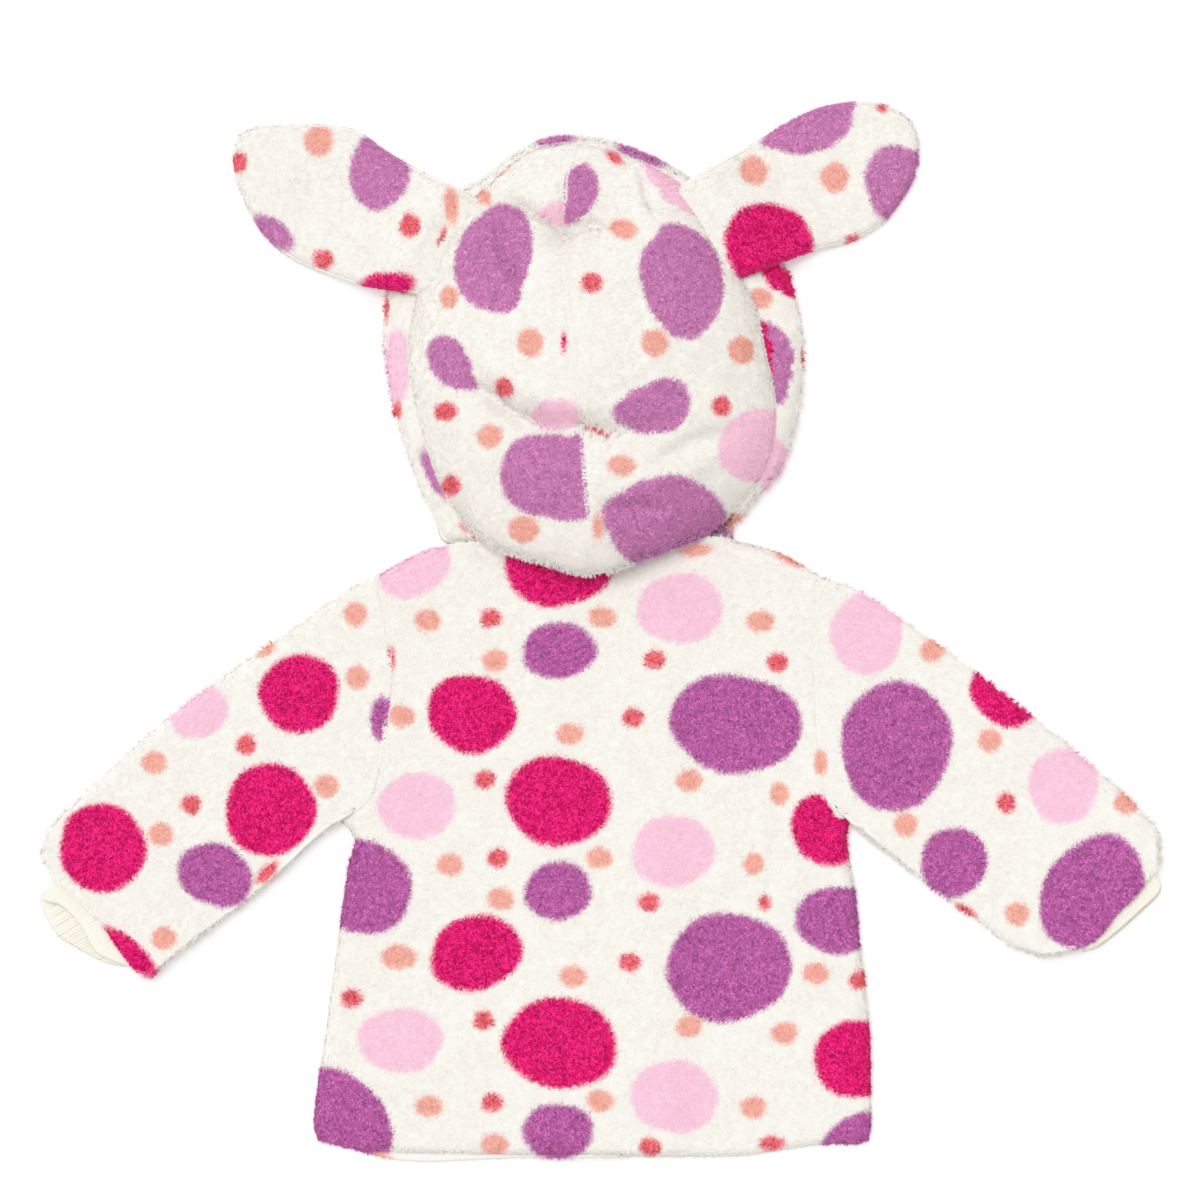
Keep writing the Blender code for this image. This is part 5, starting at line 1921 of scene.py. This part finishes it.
    def half(self, side: Side) -> Cloth:
        """One half of the crown.

        Args:
            side: Which side.

        Returns:
            The cloth.
        """
        sign = side.sign
        along, out = np.meshgrid(
            np.linspace(1.0, -1.0, self.along + 1), np.linspace(0.0, 1.0, self.across + 1), indexing="ij"
        )
        points, normals, share = self.surface(sign * out, along)
        centre = run(points.swapaxes(0, 1)).T
        edge = (1.0 - share) * CROWN_REACH
        trough = 0.1 * np.exp(-((centre / 2.4) ** 2)) + 0.3 * np.exp(-((edge / 2.6) ** 2))
        points = points - trough[..., None] * normals
        points[:, 0, 0] += sign * SEAM_GAP / 2
        cloth = Cloth(
            f"hood_{side.value}",
            points,
            self.prints[side].colours(points),
            flip=side is Side.RIGHT,
            seed=60 + sign,
        )
        sheared = (cloth.normals * normals).sum(2) < 0.5
        cloth.normals[sheared] = normals[sheared]
        cloth.points = cloth.face - PILE * cloth.normals
        return cloth

    def edge_chart(self, side: float) -> Array:
        """The square chart's edge of one half, from the face edge to the nape.

        Args:
            side: -1 for the left half, 1 for the right.

        Returns:
            Places on the chart.
        """
        out = np.linspace(0.0, side, 32)
        down = np.linspace(1.0, -1.0, 84)
        top = np.stack((out, np.ones_like(out)), axis=1)
        flank = np.stack((np.full_like(down, side), down), axis=1)[1:-1]
        return np.vstack((top, flank, np.stack((out[::-1], -np.ones_like(out)), axis=1)))

    def band(self) -> Cloth:
        """The band, from the crown's seam out and down, then in over the surface below.

        Returns:
            The cloth.
        """
        chart = np.vstack((self.edge_chart(-1.0)[::-1], self.edge_chart(1.0)[1:]))
        rim, _, _ = self.surface(chart[:, 0], chart[:, 1])
        _, _, bearing = on_disc(chart[:, 0], chart[:, 1])
        _, down = self.crown_slopes(np.ones_like(bearing), bearing)
        taper = np.interp(bearing, *np.transpose(NECK_TAPER)) * (bearing < 270.0)
        reach_out = hood_rows(bearing)[:, 1] + taper
        direction = neck_point(bearing, np.ones_like(bearing)) - HOOD_CENTRE
        start = rim + SEAM_GAP * down
        reach = ((start[:, :2] - HOOD_CENTRE) * direction).sum(1)
        width = reach_out - reach
        rows = [start]
        for share, inset, lift, height in BAND_OUTER:
            out = reach + share * width - inset
            rows.append(raised(HOOD_CENTRE + out[:, None] * direction, lift * start[:, 2] + height))
        from_south = np.abs((bearing - 270.0 + 180.0) % 360.0 - 180.0)
        flat = np.ones_like(bearing)
        for side, (low, high) in NECK_FLAT.items():
            here = (np.abs(bearing - 180.0) <= 90.0) == (side is Side.LEFT)
            flat = np.where(here, 1.0 - smoothstep(270.0 - high, 270.0 - low, from_south), flat)
        flat_reach = reach_out[None] - np.linspace(0.0, BAND_OUTER[-1][1], len(rows))[:, None]
        strip = raised(HOOD_CENTRE + flat_reach[..., None] * direction[None], np.zeros(len(bearing)))
        rows = np.array(rows)
        rows = rows + flat[None, :, None] * (strip - rows)
        face = smooth(rows.reshape(len(rows), -1), 5).reshape(-1, len(bearing), 3)
        face[..., 2] = np.maximum(face[..., 2], 0.0)
        face[:, 0, 0], face[:, -1, 0] = HOOD_CENTRE[0] - FRONT_PART, HOOD_CENTRE[0] + FRONT_PART
        along = run(face)
        upright = 1.0 - flat[None, :]
        normals = grid_normals(face, False)
        trough = 0.2 * np.exp(-((along / 2.6) ** 2)) * upright
        swell = 0.8 * ripple(np.stack((bearing * 2.2, bearing * 0.0), axis=1), 30.0, 71)[None] * upright
        swell = swell * smoothstep(0.0, 10.0, along) * smoothstep(0.0, 6.0, face[..., 2])
        outward = 1.0 if self.band_faces_out(face, normals) else -1.0
        face = face - (trough + swell)[..., None] * normals * outward
        return Cloth(
            "hood_band",
            face,
            self.ink(face, normals),
            flip=not self.band_faces_out(face, normals),
            density=1.4,
            hems=(Border.LAST,),
            seed=65,
        )

    def band_inside(self, band: Cloth) -> list[Cloth]:
        """The inner face of the band, where it lies open at the neck's corners.

        Args:
            band: The band.

        Returns:
            A cloth for each corner.
        """
        face = band.points - (KNIT + PILE) * band.normals
        flat = band.normals[0, :, 2] < 0.9
        columns = np.flatnonzero(flat & (face[0, :, 1] < HOOD_CENTRE[1]))
        halves = np.split(columns, np.flatnonzero(np.diff(columns) > 1) + 1)
        return [
            Cloth(
                f"hood_band_inside_{index}",
                face[:, part],
                band.colours[:, part],
                flip=True,
                hems=ROW_BORDERS + COLUMN_BORDERS,
                seed=90 + index,
            )
            for index, part in enumerate(halves)
            if len(part) > 3
        ]

    def ink_inside(self, points: Array, _: Array) -> Array:
        """The band's print as it shows at the neck's corners."""
        return self.band_print.colours(points)

    @staticmethod
    def band_faces_out(face: Array, normals: Array) -> bool:
        """Whether the grid's normals point away from the hood's centre.

        Args:
            face: The band's points.
            normals: The normals there.

        Returns:
            True where they do.
        """
        row = 4
        outward = face[row, :, :2] - HOOD_CENTRE
        return bool((outward * normals[row, :, :2]).sum() > 0.0)

    def ink(self, points: Array, normals: Array) -> Array:
        """The band's print: as charted where it shows from above, the repeat below.

        Args:
            points: Points of the band.

        Returns:
            Their colours.
        """
        above = points[..., 2] > 3.0
        colour = HIDDEN_PRINT.colours(points)
        colour[above] = self.band_print.colours(points[above])
        return colour


@dataclass
class Ear:
    """An ear: two layers sewn round their edge."""

    side: Side
    print_: Print
    waves: tuple = ((0.8, 42.0, 81), (0.3, 20.0, 82))
    outline: Array = field(init=False)

    def __post_init__(self) -> None:
        """Keeps the outline."""
        plan = self.plan(FINE)
        self.outline = np.vstack((plan[:, 0], plan[-1, 1:], plan[-2::-1, -1]))

    def ink(self, spots: Array, _: Array) -> Array:
        """The layer on top's print."""
        return self.print_.colours(spots)

    def under_ink(self, spots: Array, _: Array | None = None) -> Array:
        """The under layer's print."""
        return under_print(self.print_, spots, away_from(spots, self.outline)[0])

    def plan(self, step: float) -> Array:
        """Plan points, a row for each place from the hood out to the tip.

        Args:
            step: The largest distance between points.

        Returns:
            The points.
        """
        start, end = EAR_BASES[self.side]
        bearing = np.linspace(start, end, 9)
        edge = neck_point(bearing, crown_reach(hood_rows(bearing), 1.0))
        angle = np.radians(bearing)
        edge[:, 0] += seam_wander(np.cos(angle), np.sin(angle))
        edge = edge - HOOD_CENTRE
        base = HOOD_CENTRE + edge * (1.0 - EAR_INSET / np.linalg.norm(edge, axis=1)[:, None])
        table = EARS[self.side]
        top = smooth([tuple(base[0])] + [row[:2] for row in table])
        low = smooth([tuple(base[-1])] + [row[2:] for row in table])
        outward = top[-1] + low[-1] - top[-8] - low[-8]
        bulge = (top[-1] + low[-1]) / 2 + EAR_TIP_BULGE * outward / np.linalg.norm(outward)
        tip = smooth([tuple(top[-1]), tuple(bulge), tuple(low[-1])])
        return patch(
            Edge(base, EAR_ACROSS * lengths(base)[-1]),
            Edge(tip, EAR_ACROSS * lengths(tip)[-1]),
            Edge(top, EAR_ALONG * lengths(top)[-1]),
            Edge(low, EAR_ALONG * lengths(low)[-1]),
            step,
        )

    def layers(self) -> list[Cloth]:
        """The layer on top and the one under it.

        Returns:
            The two cloths.
        """
        found = []
        left = self.side is Side.LEFT
        for layer, step in ((Layer.BACK, FINE), (Layer.FRONT, COARSE - 1.0)):
            on_top = layer is Layer.BACK
            plan = self.plan(step)
            away = away_from(plan, self.outline)[0]
            from_hood = np.maximum(away_from(plan, plan[0])[0] - EAR_INSET, 0.0)
            base = EAR_BASE_LIFT * (1.0 - smoothstep(0.0, EAR_SLOPE_RUN, from_hood))
            base = base - 3.0 * (1.0 - smoothstep(0.0, 14.0, from_hood))
            swell = rounded(away, EAR_ROUND)
            if on_top:
                puff = 1.0 + EAR_PUFF * smoothstep(EAR_ROUND, 3 * EAR_ROUND, away)
                relief = waves(plan, self.waves) * smoothstep(2.0, 14.0, away)
                height = base + SEAM_LEVEL + (FLEECE + EAR_LAY + puff) * swell + relief
                colours = self.print_.colours(plan)
            else:
                height = base + (FLEECE - 0.1) * (1.0 - swell)
                colours = self.under_ink(plan)
            found.append(
                Cloth(
                    f"ear_{self.side.value}_{layer.value}",
                    raised(plan, height),
                    colours,
                    flip=on_top == left,
                    density=1.9 if on_top else 0.3,
                    seed=80 + len(found) + 2 * left,
                )
            )
        return found


# Scene


@dataclass
class Studio:
    """The white table, the soft lights and the camera straight above."""

    view_centre: tuple[float, float] = (600.0, 600.0)  # the photograph's middle pixel
    view_width: float = 1200.0  # pixels
    distance: float = 4.0
    world_strength: float = 0.69
    sun_strength: float = 1.45
    sun_way: tuple[float, float, float] = (-0.28, 0.3, 1.0)  # from the jacket to the sun
    sun_width: float = 36.0  # degrees; a wide sun has soft shadows
    # how the camera's film answers to light: what is bright is held back, as on paper
    film: tuple = ((0.0, 0.0), (0.3, 0.3), (0.6, 0.6), (0.85, 0.85), (0.95, 0.94), (1.05, 0.98), (1.15, 1.0))

    def build(self) -> None:
        """Makes the table, the lights and the camera."""
        self.table()
        self.lights()
        self.camera()

    def table(self) -> None:
        """A wide white sheet under the jacket."""
        bpy.ops.mesh.primitive_plane_add(size=12.0, location=(0.0, 0.0, -0.0004))
        item = bpy.context.object
        item.name = "table"
        item.data.materials.append(FloorFinish().material())

    def lights(self) -> None:
        """An even white surround, and a broad lamp above the hood's side."""
        world = bpy.data.worlds.new("surround")
        world.use_nodes = True
        background = world.node_tree.nodes["Background"]
        background.inputs["Color"].default_value = (1.0, 1.0, 1.0, 1.0)
        background.inputs["Strength"].default_value = self.world_strength
        bpy.context.scene.world = world
        lamp = bpy.data.lights.new("key", "SUN")
        lamp.energy = self.sun_strength
        lamp.angle = math.radians(self.sun_width)
        item = bpy.data.objects.new("key", lamp)
        item.rotation_euler = Vector(self.sun_way).to_track_quat("Z", "Y").to_euler()
        bpy.context.scene.collection.objects.link(item)
        self.develop()

    def develop(self) -> None:
        """Sets the film's curve."""
        settings = bpy.context.scene.view_settings
        settings.view_transform = "Standard"
        settings.use_curve_mapping = True
        most = self.film[-1][0]
        settings.curve_mapping.white_level = (most, most, most)
        points = settings.curve_mapping.curves[3].points
        while len(points) < len(self.film):
            points.new(0.5, 0.5)
        for point, (light, shown) in zip(points, self.film):
            point.location = (light / most, shown)
            point.handle_type = "VECTOR" if light < 0.7 else "AUTO"
        settings.curve_mapping.update()

    def camera(self) -> None:
        """A long lens straight above the photograph's middle."""
        plan = (
            (self.view_centre[0] - PHOTO_CENTRE[0]) * PIXEL - ORIGIN[0],
            (PHOTO_CENTRE[1] - self.view_centre[1]) * PIXEL - ORIGIN[1],
        )
        data = bpy.data.cameras.new("camera")
        data.sensor_width = 36.0
        data.lens = data.sensor_width * self.distance / (self.view_width * PIXEL * MM)
        data.clip_end = 50.0
        item = bpy.data.objects.new("camera", data)
        item.location = (plan[0] * MM, plan[1] * MM, self.distance)
        bpy.context.scene.collection.objects.link(item)
        bpy.context.scene.camera = item


def declare(name: str, item: bpy.types.Object) -> None:
    """Hides the solid that the cloth stands for.

    Args:
        name: The solid's node.
        item: The cloth. Not used.
    """
    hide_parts(name)


def dress(
    cloth: Cloth, ink: Ink, knit: bpy.types.Material, fibres: bpy.types.Material
) -> None:
    """Args:
        cloth: The cloth.
        ink: Gives the print's colours at points and normals.
        knit: The knit's finish.
        fibres: The pile's finish.
    """
    item = cloth.shell(knit)
    pile = Pile().grow(cloth, ink, fibres)
    declare(cloth.name, item)
    LOG.info(
        "%s: %d knit faces, %d fibres, %.4f m2",
        cloth.name,
        len(item.data.polygons),
        sum(len(piece.data.polygons) for piece in pile),
        cloth.area() * MM * MM,
    )


def main() -> None:
    """Builds every piece and the studio."""
    logging.basicConfig(level=logging.INFO, format="%(message)s")
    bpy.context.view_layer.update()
    knit, fibres, rib = ClothFinish().material(), PileFinish().material(), RibFinish().material()
    body = Body()
    dress(body.back(), body.back_ink, knit, fibres)
    for side in Side:
        dress(body.front(side), body.front_ink, knit, fibres)
        sleeve = Sleeve(side, Print(SLEEVE_DOTS[side], 13))
        dress(sleeve.tube(), sleeve.ink, knit, fibres)
        declare(f"cuff_{side.value}", sleeve.cuff(rib))
    hood = Hood()
    for side in Side:
        chart = hood.prints[side]
        dress(hood.half(side), lambda spot, _, chart=chart: chart.colours(spot), knit, fibres)
    band = hood.band()
    corners = hood.band_inside(band)
    inside = [piece for part in corners for piece in Pile().grow(part, hood.ink_inside, fibres)]
    dress(band, hood.ink, knit, fibres)
    for side in Side:
        ear = Ear(side, Print(EAR_DOTS[side], 9))
        back, front = ear.layers()
        dress(back, ear.ink, knit, fibres)
        dress(front, ear.under_ink, knit, fibres)
    plastic = StudFinish().material()
    for name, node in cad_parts.items():
        if name.startswith("stud_"):
            for index in range(len(node.data.materials)):
                node.data.materials[index] = plastic
            LOG.info("%s: moulded plastic", name)
    Studio().build()


if __name__ == "__main__":
    main()
